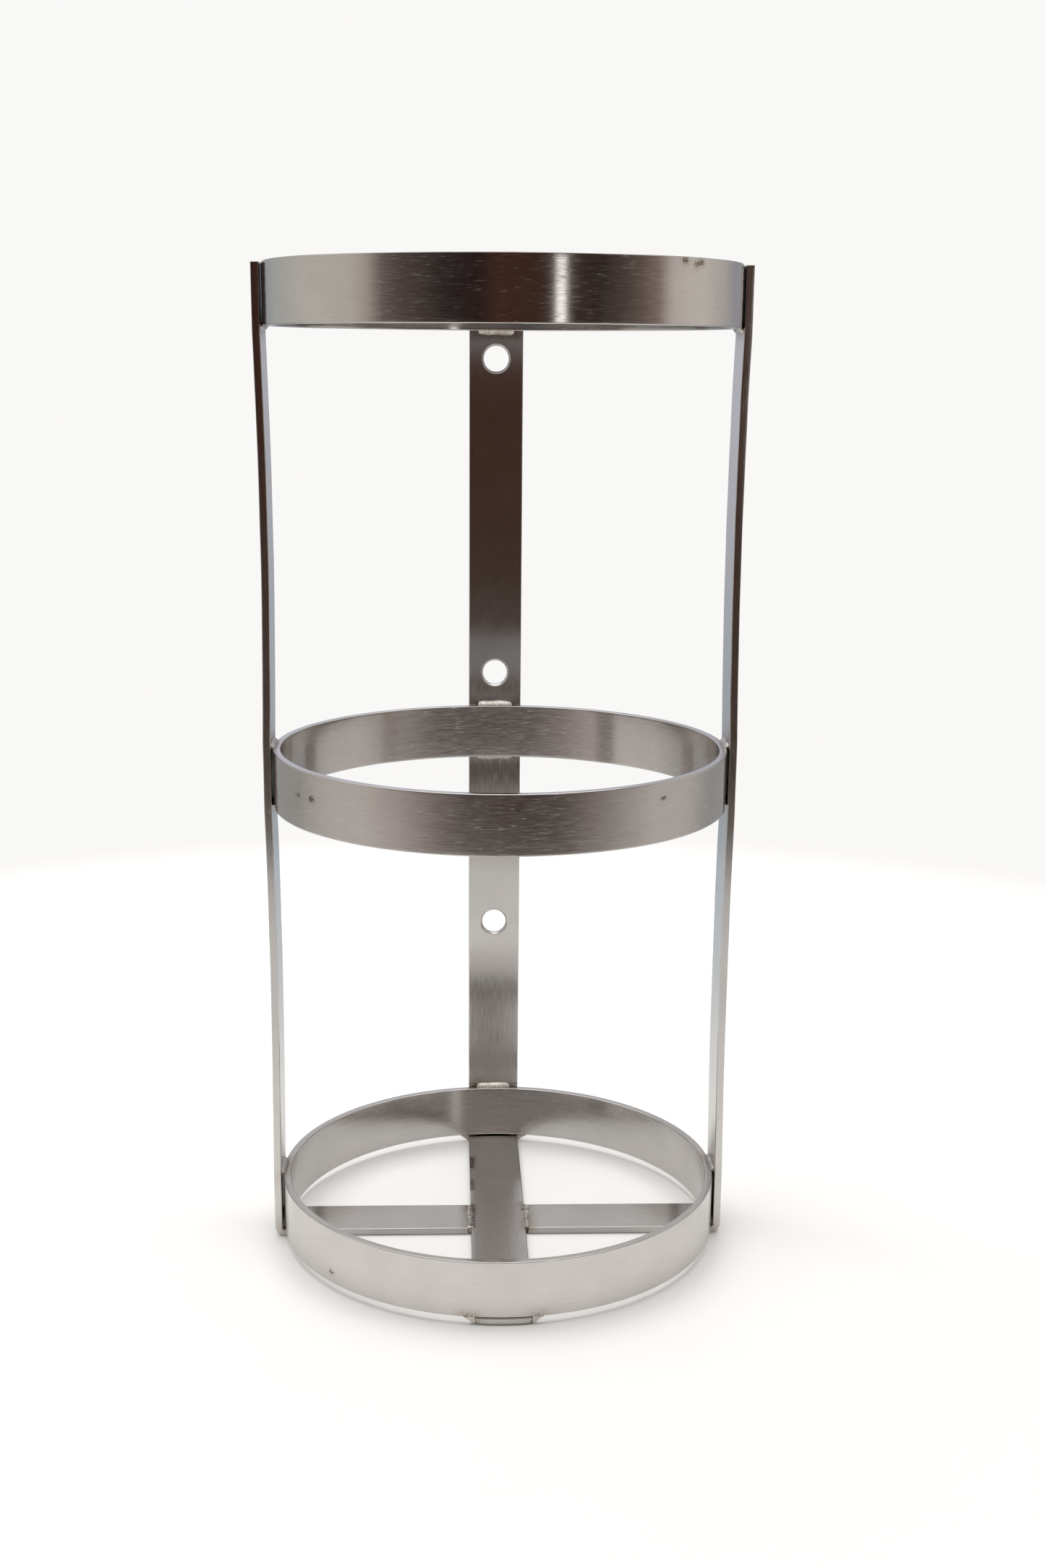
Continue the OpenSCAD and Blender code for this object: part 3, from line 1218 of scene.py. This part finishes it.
@dataclass(frozen=True)
class WeldMetal:
    """Bare TIG weld metal, wire-brushed: brighter than the bar, rippled, with a few dark specks.

    Attributes:
        name: of the material.
        bright: reflection colour.
        dull: reflection colour of its dips.
        grit: size of its mottling in millimetres.
        patch: size of its dull patches in millimetres.
        grit_depth: height of the mottling in millimetres.
        roughness: mean roughness.
    """

    name: str = "wire_brushed_weld_metal"
    bright: str = "#ddd9d4"
    dull: str = "#a79d90"
    grit: float = 0.8
    patch: float = 4.0
    grit_depth: float = 0.06
    roughness: float = 0.27

    def material(self) -> bpy.types.Material:
        """Makes the material: mottled colour, roughness and a fine bump.

        Returns:
            The material.
        """
        made = bpy.data.materials.new(self.name)
        tree = empty_nodes(made)
        place = add_node(tree, "ShaderNodeTexCoord").outputs["Object"]
        mottle = add_node(tree, "ShaderNodeTexNoise", {"Vector": place, "Scale": 1 / (self.grit * MM),
                                                       "Detail": 3.0, "Roughness": 0.6}).outputs["Fac"]
        patch = add_node(tree, "ShaderNodeTexNoise", {"Vector": place, "Scale": 1 / (self.patch * MM),
                                                      "Detail": 2.0, "Roughness": 0.5}).outputs["Fac"]
        fine = add_node(tree, "ShaderNodeMath", {0: mottle, 1: 0.5}, operation="MULTIPLY")
        mixed = add_node(tree, "ShaderNodeMath", {0: patch, 1: 0.5, 2: fine.outputs[0]},
                         operation="MULTIPLY_ADD")
        share = add_node(tree, "ShaderNodeMapRange", {"Value": mixed.outputs[0], "From Min": 0.4,
                                                      "From Max": 0.62, "To Min": 0.0, "To Max": 0.75})
        colour = add_node(tree, "ShaderNodeMix", {"Factor": share.outputs[0], "A": linear(self.bright),
                                                  "B": linear(self.dull)}, data_type="RGBA")
        rough = add_node(tree, "ShaderNodeMapRange", {"Value": mottle, "From Min": 0.3, "From Max": 0.7,
                                                      "To Min": self.roughness - 0.08,
                                                      "To Max": self.roughness + 0.1})
        bump = add_node(tree, "ShaderNodeBump", {"Height": mottle, "Strength": 0.5,
                                                 "Distance": self.grit_depth * MM})
        shader = add_node(tree, "ShaderNodeBsdfPrincipled", {
            "Base Color": colour.outputs["Result"], "Metallic": 1.0, "Roughness": rough.outputs[0],
            "Normal": bump.outputs[0]})
        add_node(tree, "ShaderNodeOutputMaterial", {"Surface": shader.outputs[0]})
        return made


@dataclass(frozen=True)
class PaintedFloor:
    """Matt off-white painted board: a plain, even, pale ground that fades out at its rim.

    In the steel's reflections only it carries painted shade, darker away from the stand and inside the bottom
    ring, and a painted bluish reflection towards the back. Distances are in metres from the stand's axis.

    Attributes:
        name: of the material.
        paint: colour of the board.
        mottled: colour of its faint mottle.
        painted_back_reflection: painted reflection tone that the mirrored board turns to at the back.
        fade: distances at which the board starts to fade and is gone.
        back: depth behind the axis at which the painted back reflection starts and is full.
        painted_falloff: distances between which painted shade darkens the mirrored board.
        inside: distances at which the painted shade inside the ring starts and is darkest.
    """

    name: str = "matt_white_board"
    paint: str = "#f2f1ef"
    mottled: str = "#efeeec"
    painted_back_reflection: str = "#a0adb8"
    fade: tuple[float, float] = (0.75, 0.93)
    back: tuple[float, float] = (0.1, 0.7)
    painted_falloff: tuple[float, float] = (0.15, 0.4)
    inside: tuple[float, float] = (0.11, 0.07)

    def material(self) -> bpy.types.Material:
        """Makes the material: matt paint with a faint mottle, painted shade and reflection for mirror rays,
        clear past the fade.

        Returns:
            The material.
        """
        made = bpy.data.materials.new(self.name)
        tree = empty_nodes(made)
        place = add_node(tree, "ShaderNodeTexCoord").outputs["Object"]
        mottle = add_node(tree, "ShaderNodeTexNoise", {"Vector": place, "Scale": 9.0, "Detail": 3.0})
        colour = add_node(tree, "ShaderNodeMix", {"Factor": mottle.outputs["Fac"], "A": linear(self.paint),
                                                  "B": linear(self.mottled)}, data_type="RGBA")
        distance = add_node(tree, "ShaderNodeVectorMath", {0: place}, operation="LENGTH").outputs["Value"]
        depth = add_node(tree, "ShaderNodeSeparateXYZ", {0: place}).outputs["Y"]
        # Painted reflection: mirror rays see the board turn bluish towards the back
        back = add_node(tree, "ShaderNodeMapRange", {"Value": depth, "From Min": self.back[0],
                                                     "From Max": self.back[1], "To Max": 0.75})
        # Painted shade: mirror rays see the board darker away from the stand and inside the bottom ring
        fall = add_node(tree, "ShaderNodeMapRange", {"Value": distance, "From Min": self.painted_falloff[0],
                                                     "From Max": self.painted_falloff[1],
                                                     "To Min": 0.08, "To Max": 0.28})
        shade = add_node(tree, "ShaderNodeMapRange", {"Value": distance, "From Min": self.inside[0],
                                                      "From Max": self.inside[1], "To Max": 0.35})
        dim = add_node(tree, "ShaderNodeMath", {0: fall.outputs[0], 1: shade.outputs[0]}, operation="ADD")
        mirrored = add_node(tree, "ShaderNodeLightPath").outputs["Is Glossy Ray"]
        dim = add_node(tree, "ShaderNodeMath", {0: dim.outputs[0], 1: mirrored}, operation="MULTIPLY")
        back = add_node(tree, "ShaderNodeMath", {0: back.outputs[0], 1: mirrored}, operation="MULTIPLY")
        dimmed = add_node(tree, "ShaderNodeMix", {"Factor": dim.outputs[0], "A": colour.outputs["Result"],
                                                  "B": (0.0, 0.0, 0.0, 1.0)}, data_type="RGBA")
        toned = add_node(tree, "ShaderNodeMix", {"Factor": back.outputs[0], "A": dimmed.outputs["Result"],
                                                 "B": linear(self.painted_back_reflection)}, data_type="RGBA")
        matt = add_node(tree, "ShaderNodeBsdfDiffuse", {"Color": toned.outputs["Result"]})
        share = add_node(tree, "ShaderNodeMapRange", {"Value": distance, "From Min": self.fade[0],
                                                      "From Max": self.fade[1]},
                         interpolation_type="SMOOTHSTEP")
        clear = add_node(tree, "ShaderNodeBsdfTransparent")
        mixed = add_node(tree, "ShaderNodeMixShader", {0: share.outputs[0], 1: matt.outputs[0],
                                                       2: clear.outputs[0]})
        add_node(tree, "ShaderNodeOutputMaterial", {"Surface": mixed.outputs[0]})
        return made


@dataclass
class Studio:
    """A pale floor in soft light, and the camera.

    The room round the stand is bright at its sides and back and dark on the camera's side, which is
    what gives brushed steel its dark and light bands. To the camera it is one plain pale tone.

    Attributes:
        pale: the room's tone to the camera.
        ceiling: its tone overhead.
        ground_rise: heights of a unit direction where the walls end and where the ground is full.
        ceiling_rise: heights of a unit direction where the walls end and where the ceiling is full.
        floor_radius: radius of the floor, in metres.
        floor_grid: number of rings and spokes of its mesh.
        aim: point that the lights face.
        eye: place of the camera.
        yaw: turn of the camera about the vertical, in degrees.
        pitch: how far it looks down, in degrees.
        roll: turn about its own line of sight, in degrees.
        lens: focal length in millimetres.
        sensor: width of its sensor in millimetres.
        shift: of the lens, as shares of the frame.
    """

    pale: str = "#f9f8f7"
    ceiling: str = "#cbcac8"
    ground_rise: tuple[float, float] = (-0.02, -0.18)
    ceiling_rise: tuple[float, float] = (0.3, 0.44)
    floor_radius: float = 1.2
    floor_grid: tuple[int, int] = (24, 96)
    aim: tuple[float, float, float] = (0.0, 0.0, 0.25)
    eye: tuple[float, float, float] = (-0.02698, -0.97860, 0.46736)
    yaw: float = -1.856
    pitch: float = 14.434
    roll: float = 0.361
    lens: float = 43.785
    sensor: float = 36.0
    shift: tuple[float, float] = (0.0089, 0.0414)

    # Tone of the room at eye level by degrees from the camera's side, positive to the stand's right
    WALLS = (
        (-180, "#cecfdb"), (-170, "#cccdd8"), (-158, "#acaeb2"), (-150, "#a4a6a9"), (-137, "#b8baba"),
        (-120, "#c6c5c0"), (-105, "#d2cec8"), (-78, "#cfcac4"), (-67, "#b6ada4"), (-58, "#6a5f5b"),
        (-50, "#524845"), (-40, "#463c39"), (-26, "#2a201e"), (-11, "#241614"), (-5, "#482a20"),
        (14, "#40281c"), (33, "#3a2a21"), (44, "#2e241d"), (55, "#4a3e39"), (64, "#63554e"),
        (76, "#87786f"), (84, "#d0c7c3"), (104, "#d9d5cf"), (125, "#c3beba"), (140, "#9fa0a5"),
        (156, "#9a9ba0"), (166, "#a6a7ae"), (173, "#c2c3cd"), (180, "#cecfdb"),
    )

    # Tone of the ground beyond the floor, by the same degrees
    GROUND = (
        (-180, "#b9c3cc"), (-165, "#aab0b6"), (-150, "#a0a09f"), (-120, "#a6a4a0"), (-98, "#c6c2be"),
        (-73, "#ccc6c1"), (-53, "#b9afab"), (-34, "#857976"), (-18, "#584e49"), (0, "#4b3f38"),
        (16, "#473b34"), (30, "#584e47"), (44, "#857b77"), (57, "#a29b97"), (80, "#ccc7c2"),
        (105, "#c6c1bd"), (126, "#a2a3a0"), (150, "#9c9d9d"), (165, "#aab0b6"), (180, "#b9c3cc"),
    )

    def build_floor(self) -> None:
        """Makes the floor: a disc of rings and spokes."""
        rings, spokes = self.floor_grid
        radius = np.linspace(0, self.floor_radius, rings + 1)[:, None]
        turn = np.linspace(0, 2 * np.pi, spokes + 1)[None, :]
        xyz = np.stack([radius * np.cos(turn), radius * np.sin(turn), 0 * radius * turn], -1)
        skin = Skin()
        skin.add_grid(xyz, xyz, xyz[..., :2], np.zeros(xyz.shape[:2]))
        floor = skin.build("studio_floor", PaintedFloor().material())
        if floor.data.polygons[0].normal.z < 0:
            floor.data.flip_normals()

    def build_room(self) -> None:
        """Makes the light of the room from all directions, and hides its bands from the camera."""
        world = bpy.data.worlds.new("studio_room")
        tree = empty_nodes(world)
        direction = add_node(tree, "ShaderNodeTexCoord").outputs["Generated"]
        parts = add_node(tree, "ShaderNodeSeparateXYZ", {0: direction})
        front = add_node(tree, "ShaderNodeMath", {0: parts.outputs["Y"], 1: -1.0}, operation="MULTIPLY")
        angle = add_node(tree, "ShaderNodeMath", {0: parts.outputs["X"], 1: front.outputs[0]},
                         operation="ARCTAN2")
        share = add_node(tree, "ShaderNodeMapRange", {"Value": angle.outputs[0], "From Min": -math.pi,
                                                      "From Max": math.pi})
        walls, ground = (add_node(tree, "ShaderNodeValToRGB", {0: share.outputs[0]}) for _ in range(2))
        for ramp, stops in ((walls, self.WALLS), (ground, self.GROUND)):
            set_stops(ramp, tuple(((degrees + 180) / 360, colour) for degrees, colour in stops))
        below = add_node(tree, "ShaderNodeMapRange", {"Value": parts.outputs["Z"],
                                                      "From Min": self.ground_rise[0],
                                                      "From Max": self.ground_rise[1]})
        sides = add_node(tree, "ShaderNodeMix", {"Factor": below.outputs[0], "A": walls.outputs[0],
                                                 "B": ground.outputs[0]}, data_type="RGBA")
        above = add_node(tree, "ShaderNodeMapRange", {"Value": parts.outputs["Z"],
                                                      "From Min": self.ceiling_rise[0],
                                                      "From Max": self.ceiling_rise[1]},
                         interpolation_type="SMOOTHSTEP")
        room = add_node(tree, "ShaderNodeMix", {"Factor": above.outputs[0], "A": sides.outputs["Result"],
                                                "B": linear(self.ceiling)}, data_type="RGBA")
        banded = add_node(tree, "ShaderNodeBackground", {"Color": room.outputs["Result"]})
        plain = add_node(tree, "ShaderNodeBackground", {"Color": linear(self.pale)})
        eye = add_node(tree, "ShaderNodeLightPath").outputs["Is Camera Ray"]
        mixed = add_node(tree, "ShaderNodeMixShader", {0: eye, 1: banded.outputs[0], 2: plain.outputs[0]})
        add_node(tree, "ShaderNodeOutputWorld", {"Surface": mixed.outputs[0]})
        bpy.context.scene.world = world

    def add_light(self, name: str, place: tuple[float, float, float], size: tuple[float, float],
                  power: float, mirrored: bool = True) -> None:
        """Adds a soft rectangular light that faces the stand.

        Args:
            name: of the light.
            place: where it stands, in metres.
            size: its width and height.
            power: in watts.
            mirrored: whether the steel mirrors it.
        """
        light = bpy.data.lights.new(name, "AREA")
        light.shape = "RECTANGLE"
        light.size, light.size_y = size
        light.energy = power
        lamp = bpy.data.objects.new(name, light)
        lamp.location = place
        lamp.rotation_euler = (Vector(self.aim) - Vector(place)).to_track_quat("-Z", "Y").to_euler()
        lamp.visible_camera = False
        lamp.visible_glossy = mirrored
        bpy.context.scene.collection.objects.link(lamp)

    def build_lights(self) -> None:
        """Hangs two broad soft lights overhead, one of them unmirrored, and a strip at the front right."""
        self.add_light("overhead_softbox", (-0.15, 0.35, 2.1), (2.4, 2.4), 17.0)
        self.add_light("overhead_fill", (-0.15, 0.35, 2.2), (2.5, 2.5), 32.5, mirrored=False)
        self.add_light("strip_light", (0.67, -1.47, 0.465), (0.12, 0.3), 0.22)

    def build_camera(self) -> None:
        """Places the camera from its eye point and its yaw, pitch and roll in degrees."""
        data = bpy.data.cameras.new("camera")
        data.lens = self.lens
        data.sensor_width = self.sensor
        data.shift_x, data.shift_y = self.shift
        data.clip_start, data.clip_end = 0.01, 50.0
        camera = bpy.data.objects.new("camera", data)
        turn = (Matrix.Rotation(math.radians(self.yaw), 4, "Z")
                @ Matrix.Rotation(math.radians(90 - self.pitch), 4, "X")
                @ Matrix.Rotation(math.radians(self.roll), 4, "Z"))
        camera.matrix_world = Matrix.Translation(self.eye) @ turn
        bpy.context.scene.collection.objects.link(camera)
        bpy.context.scene.camera = camera

    def build(self) -> None:
        """Builds the floor, the room's light, the lamps and the camera."""
        self.build_floor()
        self.build_room()
        self.build_lights()
        self.build_camera()
        bpy.context.scene.view_settings.view_transform = "Standard"


@dataclass(frozen=True)
class StandSizes:
    """Sizes of the stand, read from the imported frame, in metres.

    Attributes:
        bar_width: width of the flat bar.
        bar_thickness: its thickness.
        ring_radius: outside radius of the rings.
        ring_lows: height of each ring's lower edge, from the top ring down.
        height: of the uprights' top ends.
        inner: distance of the uprights' inner faces from the axis.
        side_leg_end: distance of the side legs' ends from the axis.
        butt_inner: distance of the centre leg's sides from the axis.
        weld_low: height of the lowest weld metal.
        fillet_leg: size of the fillets at the rings.
        fillet_length: their length.
        floor_reach: width of the fillets beside the floor legs.
        floor_radii: distance of those fillets' inner and outer ends from the axis.
        hole_heights: heights of the wall holes.
        hole_radius: their radius.
    """

    bar_width: float
    bar_thickness: float
    ring_radius: float
    ring_lows: dict[str, float]
    height: float
    inner: float
    side_leg_end: float
    butt_inner: float
    weld_low: float
    fillet_leg: float
    fillet_length: float
    floor_reach: float
    floor_radii: tuple[float, float]
    hole_heights: tuple[float, ...]
    hole_radius: float

    @classmethod
    def from_frame(cls, record: dict) -> "StandSizes":
        """Measures the CAD nodes and reads the wall holes from the record.

        Args:
            record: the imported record.

        Returns:
            The sizes.
        """
        ring, butt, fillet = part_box("top_ring"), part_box("right_butt_weld"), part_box("right_top_weld")
        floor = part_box("right_floor_weld")
        half_leg = (ring[1].z - ring[0].z) / 2
        bores = [mount for mount in record["mounts"] if mount["kind"] == "bore"]
        return cls(
            bar_width=2 * half_leg,
            bar_thickness=butt[1].z,
            ring_radius=ring[1].x,
            ring_lows={level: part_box(f"{level}_ring")[0].z for level in ("top", "middle", "bottom")},
            height=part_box("rear_strap")[1].z,
            inner=fillet[1].x,
            side_leg_end=butt[1].x,
            butt_inner=butt[0].x,
            weld_low=butt[0].z,
            fillet_leg=fillet[1].z - fillet[0].z,
            fillet_length=fillet[1].y - fillet[0].y,
            floor_reach=floor[1].y - half_leg,
            floor_radii=(math.hypot(floor[0].x, floor[1].y), math.hypot(floor[1].x, half_leg)),
            hole_heights=tuple(bore["pos_m"][2] for bore in bores),
            hole_radius=bores[0]["dims"]["r_mm"] * MM,
        )


@dataclass
class UmbrellaStand:
    """The whole stand: three rings, three straps and the welds between them.

    Attributes:
        sizes: measured from the frame.
        hoop_steel: finish of the rings.
        strap_steel: finish of the straps.
        weld: finish of the welds.
        straight: length of upright that stays straight past a ring's edge.
        upper_bow: depth of the bow between the top and middle rings.
        lower_bow: depth of the bow between the middle and bottom rings.
        low_heat: reach of the heat marks beside the welds at the floor.
        pitted: strength of the pitted marks.
        ring_pit: reach of a pitted mark on a ring.
        leg_pit: reach of a pitted mark on the centre leg.
        leg_pit_inset: how far inside the leg's edge those marks lie.
    """

    sizes: StandSizes
    hoop_steel: bpy.types.Material
    strap_steel: bpy.types.Material
    weld: bpy.types.Material
    straight: float = 4 * MM
    upper_bow: float = 1.4 * MM
    lower_bow: float = 0.9 * MM
    low_heat: float = 4 * MM
    pitted: float = 1.6
    ring_pit: float = 1.9 * MM
    leg_pit: float = 2.4 * MM
    leg_pit_inset: float = 1.2 * MM

    # Directions of the uprights and of the floor legs, by side
    UPRIGHTS = {"rear": Bearing.REAR, "left": Bearing.LEFT, "right": Bearing.RIGHT}
    LEGS = {"front": Bearing.FRONT, **UPRIGHTS}

    # Ring edges that each upright is welded to, by level
    WELDED_EDGES = {"top": (Side.UNDER,), "middle": (Side.UNDER, Side.OVER), "bottom": (Side.OVER,)}

    # Pitted marks on the rings: start and end in degrees about Z, and millimetres below the top edge
    RING_MARKS = {
        "top": ((-47.8, -47.2, 1.5), (-42.2, -41.4, 2.2), (-43.6, -43.2, 3.2)),
        "middle": ((-149.6, -148.4, 13.0), (-143.2, -142.0, 12.6), (-50.4, -49.6, 8.0)),
        "bottom": ((-138.4, -137.8, 24.0),),
    }

    # Pitted marks on the centre leg: far and near end in millimetres behind the axis
    LEG_MARKS = ((80, 66), (48, 36), (14, -13))

    # How much wider each butt weld is at its -Y and +Y end, and over what share of its half length
    BUTT_SWELLS = {"left": ((0.3, 1.3), (0.3, 0.14)), "right": ((-0.45, 1.5), (0.2, 0.75))}

    # Seeds of the first ring, strap and weld; each ring and strap takes one and each weld piece two
    RING_SEED = 11
    STRAP_SEED = 31
    WELD_SEED = 51

    @property
    def bar(self) -> FlatBar:
        """Section of the stock."""
        return FlatBar(self.sizes.bar_width, self.sizes.bar_thickness)

    @property
    def bows(self) -> tuple[Bow, Bow]:
        """The two bows of every upright."""
        lows, width = self.sizes.ring_lows, self.sizes.bar_width
        return (
            Bow(lows["bottom"] + width + self.straight, lows["middle"] - self.straight, self.lower_bow),
            Bow(lows["middle"] + width + self.straight, lows["top"] - self.straight, self.upper_bow),
        )

    def welded_heights(self, level: str) -> tuple[tuple[float, Side], ...]:
        """Finds the ring edges that an upright is welded to.

        Args:
            level: which ring.

        Returns:
            Height and side of each welded edge.
        """
        low = self.sizes.ring_lows[level]
        edges = {Side.UNDER: low, Side.OVER: low + self.sizes.bar_width}
        return tuple((edges[side], side) for side in self.WELDED_EDGES[level])

    def upright_welds(self, bearing: Bearing, level: str) -> tuple[WeldLine, ...]:
        """Heat lines of the fillets between one upright and one ring."""
        inner, half = self.sizes.inner, self.sizes.fillet_length / 2
        return tuple(WeldLine(bearing.place(inner, -half, height), bearing.place(inner, half, height))
                     for height, _ in self.welded_heights(level))

    def floor_welds(self, bearing: Bearing) -> tuple[WeldLine, ...]:
        """Finds where the two fillets beside one floor leg mark the steel.

        Args:
            bearing: direction of the leg.

        Returns:
            Their heat lines, along the ring's lower edge.
        """
        sizes = self.sizes
        x, near, high = sizes.floor_radii[1], sizes.bar_width / 2, sizes.ring_lows["bottom"]
        far = near + sizes.floor_reach
        return tuple(WeldLine(bearing.place(x, hand * near, high), bearing.place(x, hand * far, high),
                              self.low_heat)
                     for hand in (-1, 1))

    def butt_welds(self) -> tuple[WeldLine, ...]:
        """Heat lines of the joints between the side legs and the centre leg."""
        x, half, top = self.sizes.side_leg_end, self.sizes.bar_width / 2, self.sizes.bar_thickness
        return tuple(WeldLine((hand * x, -half, top), (hand * x, half, top), self.low_heat)
                     for hand in (-1, 1))

    def ring_marks(self, level: str) -> tuple[WeldLine, ...]:
        """Finds the small pitted places on a ring's outside.

        Args:
            level: which ring.

        Returns:
            Their heat lines.
        """
        radius, top = self.sizes.ring_radius, self.sizes.ring_lows[level] + self.sizes.bar_width
        marks = []
        for *ends, depth in self.RING_MARKS[level]:
            start, end = ((radius * math.cos(math.radians(angle)), radius * math.sin(math.radians(angle)),
                           top - depth * MM) for angle in ends)
            marks.append(WeldLine(start, end, self.ring_pit, self.pitted))
        return tuple(marks)

    def leg_marks(self) -> tuple[WeldLine, ...]:
        """Pitted places along the left edge of the centre leg."""
        side, top = -self.sizes.bar_width / 2 + self.leg_pit_inset, self.sizes.bar_thickness
        return tuple(WeldLine((side, far * MM, top), (side, near * MM, top), self.leg_pit, self.pitted)
                     for far, near in self.LEG_MARKS)

    def build_rings(self) -> None:
        """Builds the three rings, from the top down."""
        for seed, level in enumerate(self.sizes.ring_lows):
            welds = sum((self.upright_welds(bearing, level) for bearing in self.UPRIGHTS.values()), ())
            welds += self.ring_marks(level)
            if level == "bottom":
                welds += sum((self.floor_welds(bearing) for bearing in self.LEGS.values()), ())
            ring = Ring(f"{level}_hoop", f"{level}_ring", self.bar, self.sizes.ring_radius,
                        self.sizes.ring_lows[level], welds, self.RING_SEED + seed)
            report(ring.build(self.hoop_steel))

    def build_straps(self) -> None:
        """Builds the rear strap with its wall holes, then the side straps."""
        sizes = self.sizes
        for seed, (side, bearing) in enumerate(self.UPRIGHTS.items()):
            welds = sum((self.upright_welds(bearing, level) for level in sizes.ring_lows), ())
            welds += self.floor_welds(bearing) + self.butt_welds()
            strap = Strap(f"{side}_upright", f"{side}_strap", bearing, self.bar, sizes.height, sizes.inner,
                          sizes.side_leg_end, self.bows, welds, self.STRAP_SEED + seed)
            if bearing is Bearing.REAR:
                strap.leg_end = -sizes.ring_radius
                strap.front_radius = sizes.ring_radius
                strap.welds += self.floor_welds(Bearing.FRONT) + self.leg_marks()
                strap.holes = tuple(WallHole(height, sizes.hole_radius) for height in sizes.hole_heights)
            report(strap.build(self.strap_steel))

    def build_welds(self) -> None:
        """Builds the fillets at the rings, the fillets at the floor and the butt welds."""
        sizes = self.sizes
        seed = self.WELD_SEED
        for side, bearing in self.UPRIGHTS.items():
            for level in sizes.ring_lows:
                bead = EdgeFillets(f"{side}_{level}_bead", f"{side}_{level}_weld", bearing, sizes.inner,
                                   self.welded_heights(level), sizes.fillet_leg, sizes.fillet_length,
                                   Ripple(seed=seed))
                report(bead.build(self.weld))
                seed += 2
        for side, bearing in self.LEGS.items():
            fillet = FloorFillets(f"{side}_floor_bead", f"{side}_floor_weld", bearing, sizes.bar_width / 2,
                                  sizes.floor_reach, sizes.weld_low, sizes.ring_lows["bottom"],
                                  sizes.floor_radii, Ripple(seed=seed))
            report(fillet.build(self.weld))
            seed += 2
        for side, (swells, swell_length) in self.BUTT_SWELLS.items():
            butt = ButtWeld(f"{side}_butt_bead", f"{side}_butt_weld", self.UPRIGHTS[side], sizes.butt_inner,
                            sizes.side_leg_end - sizes.butt_inner, self.bar.half_flat, sizes.weld_low,
                            sizes.bar_thickness, Ripple(pitch=2.6 * MM, height=0.16, sway=0.35, seed=seed),
                            swells, swell_length)
            report(butt.build(self.weld))
            seed += 2

    def build(self) -> None:
        """Builds every piece."""
        self.build_rings()
        self.build_straps()
        self.build_welds()


def report(piece: bpy.types.Object) -> None:
    """Logs a finished piece and its size."""
    LOG.info("%s: %d faces, %s mm", piece.name, len(piece.data.polygons),
             " x ".join(f"{side / MM:.1f}" for side in piece.dimensions))


def main() -> None:
    """Builds the stand piece by piece, then the studio."""
    logging.basicConfig(level=logging.INFO, format="%(name)s %(message)s")
    UmbrellaStand(StandSizes.from_frame(frame["record"]),
                  BrushedStainless().material(),
                  BrushedStainless("coarse_brushed_304_stainless", roughness=0.18, scoring=0.04).material(),
                  WeldMetal().material()).build()
    Studio().build()


if __name__ == "__main__":
    main()
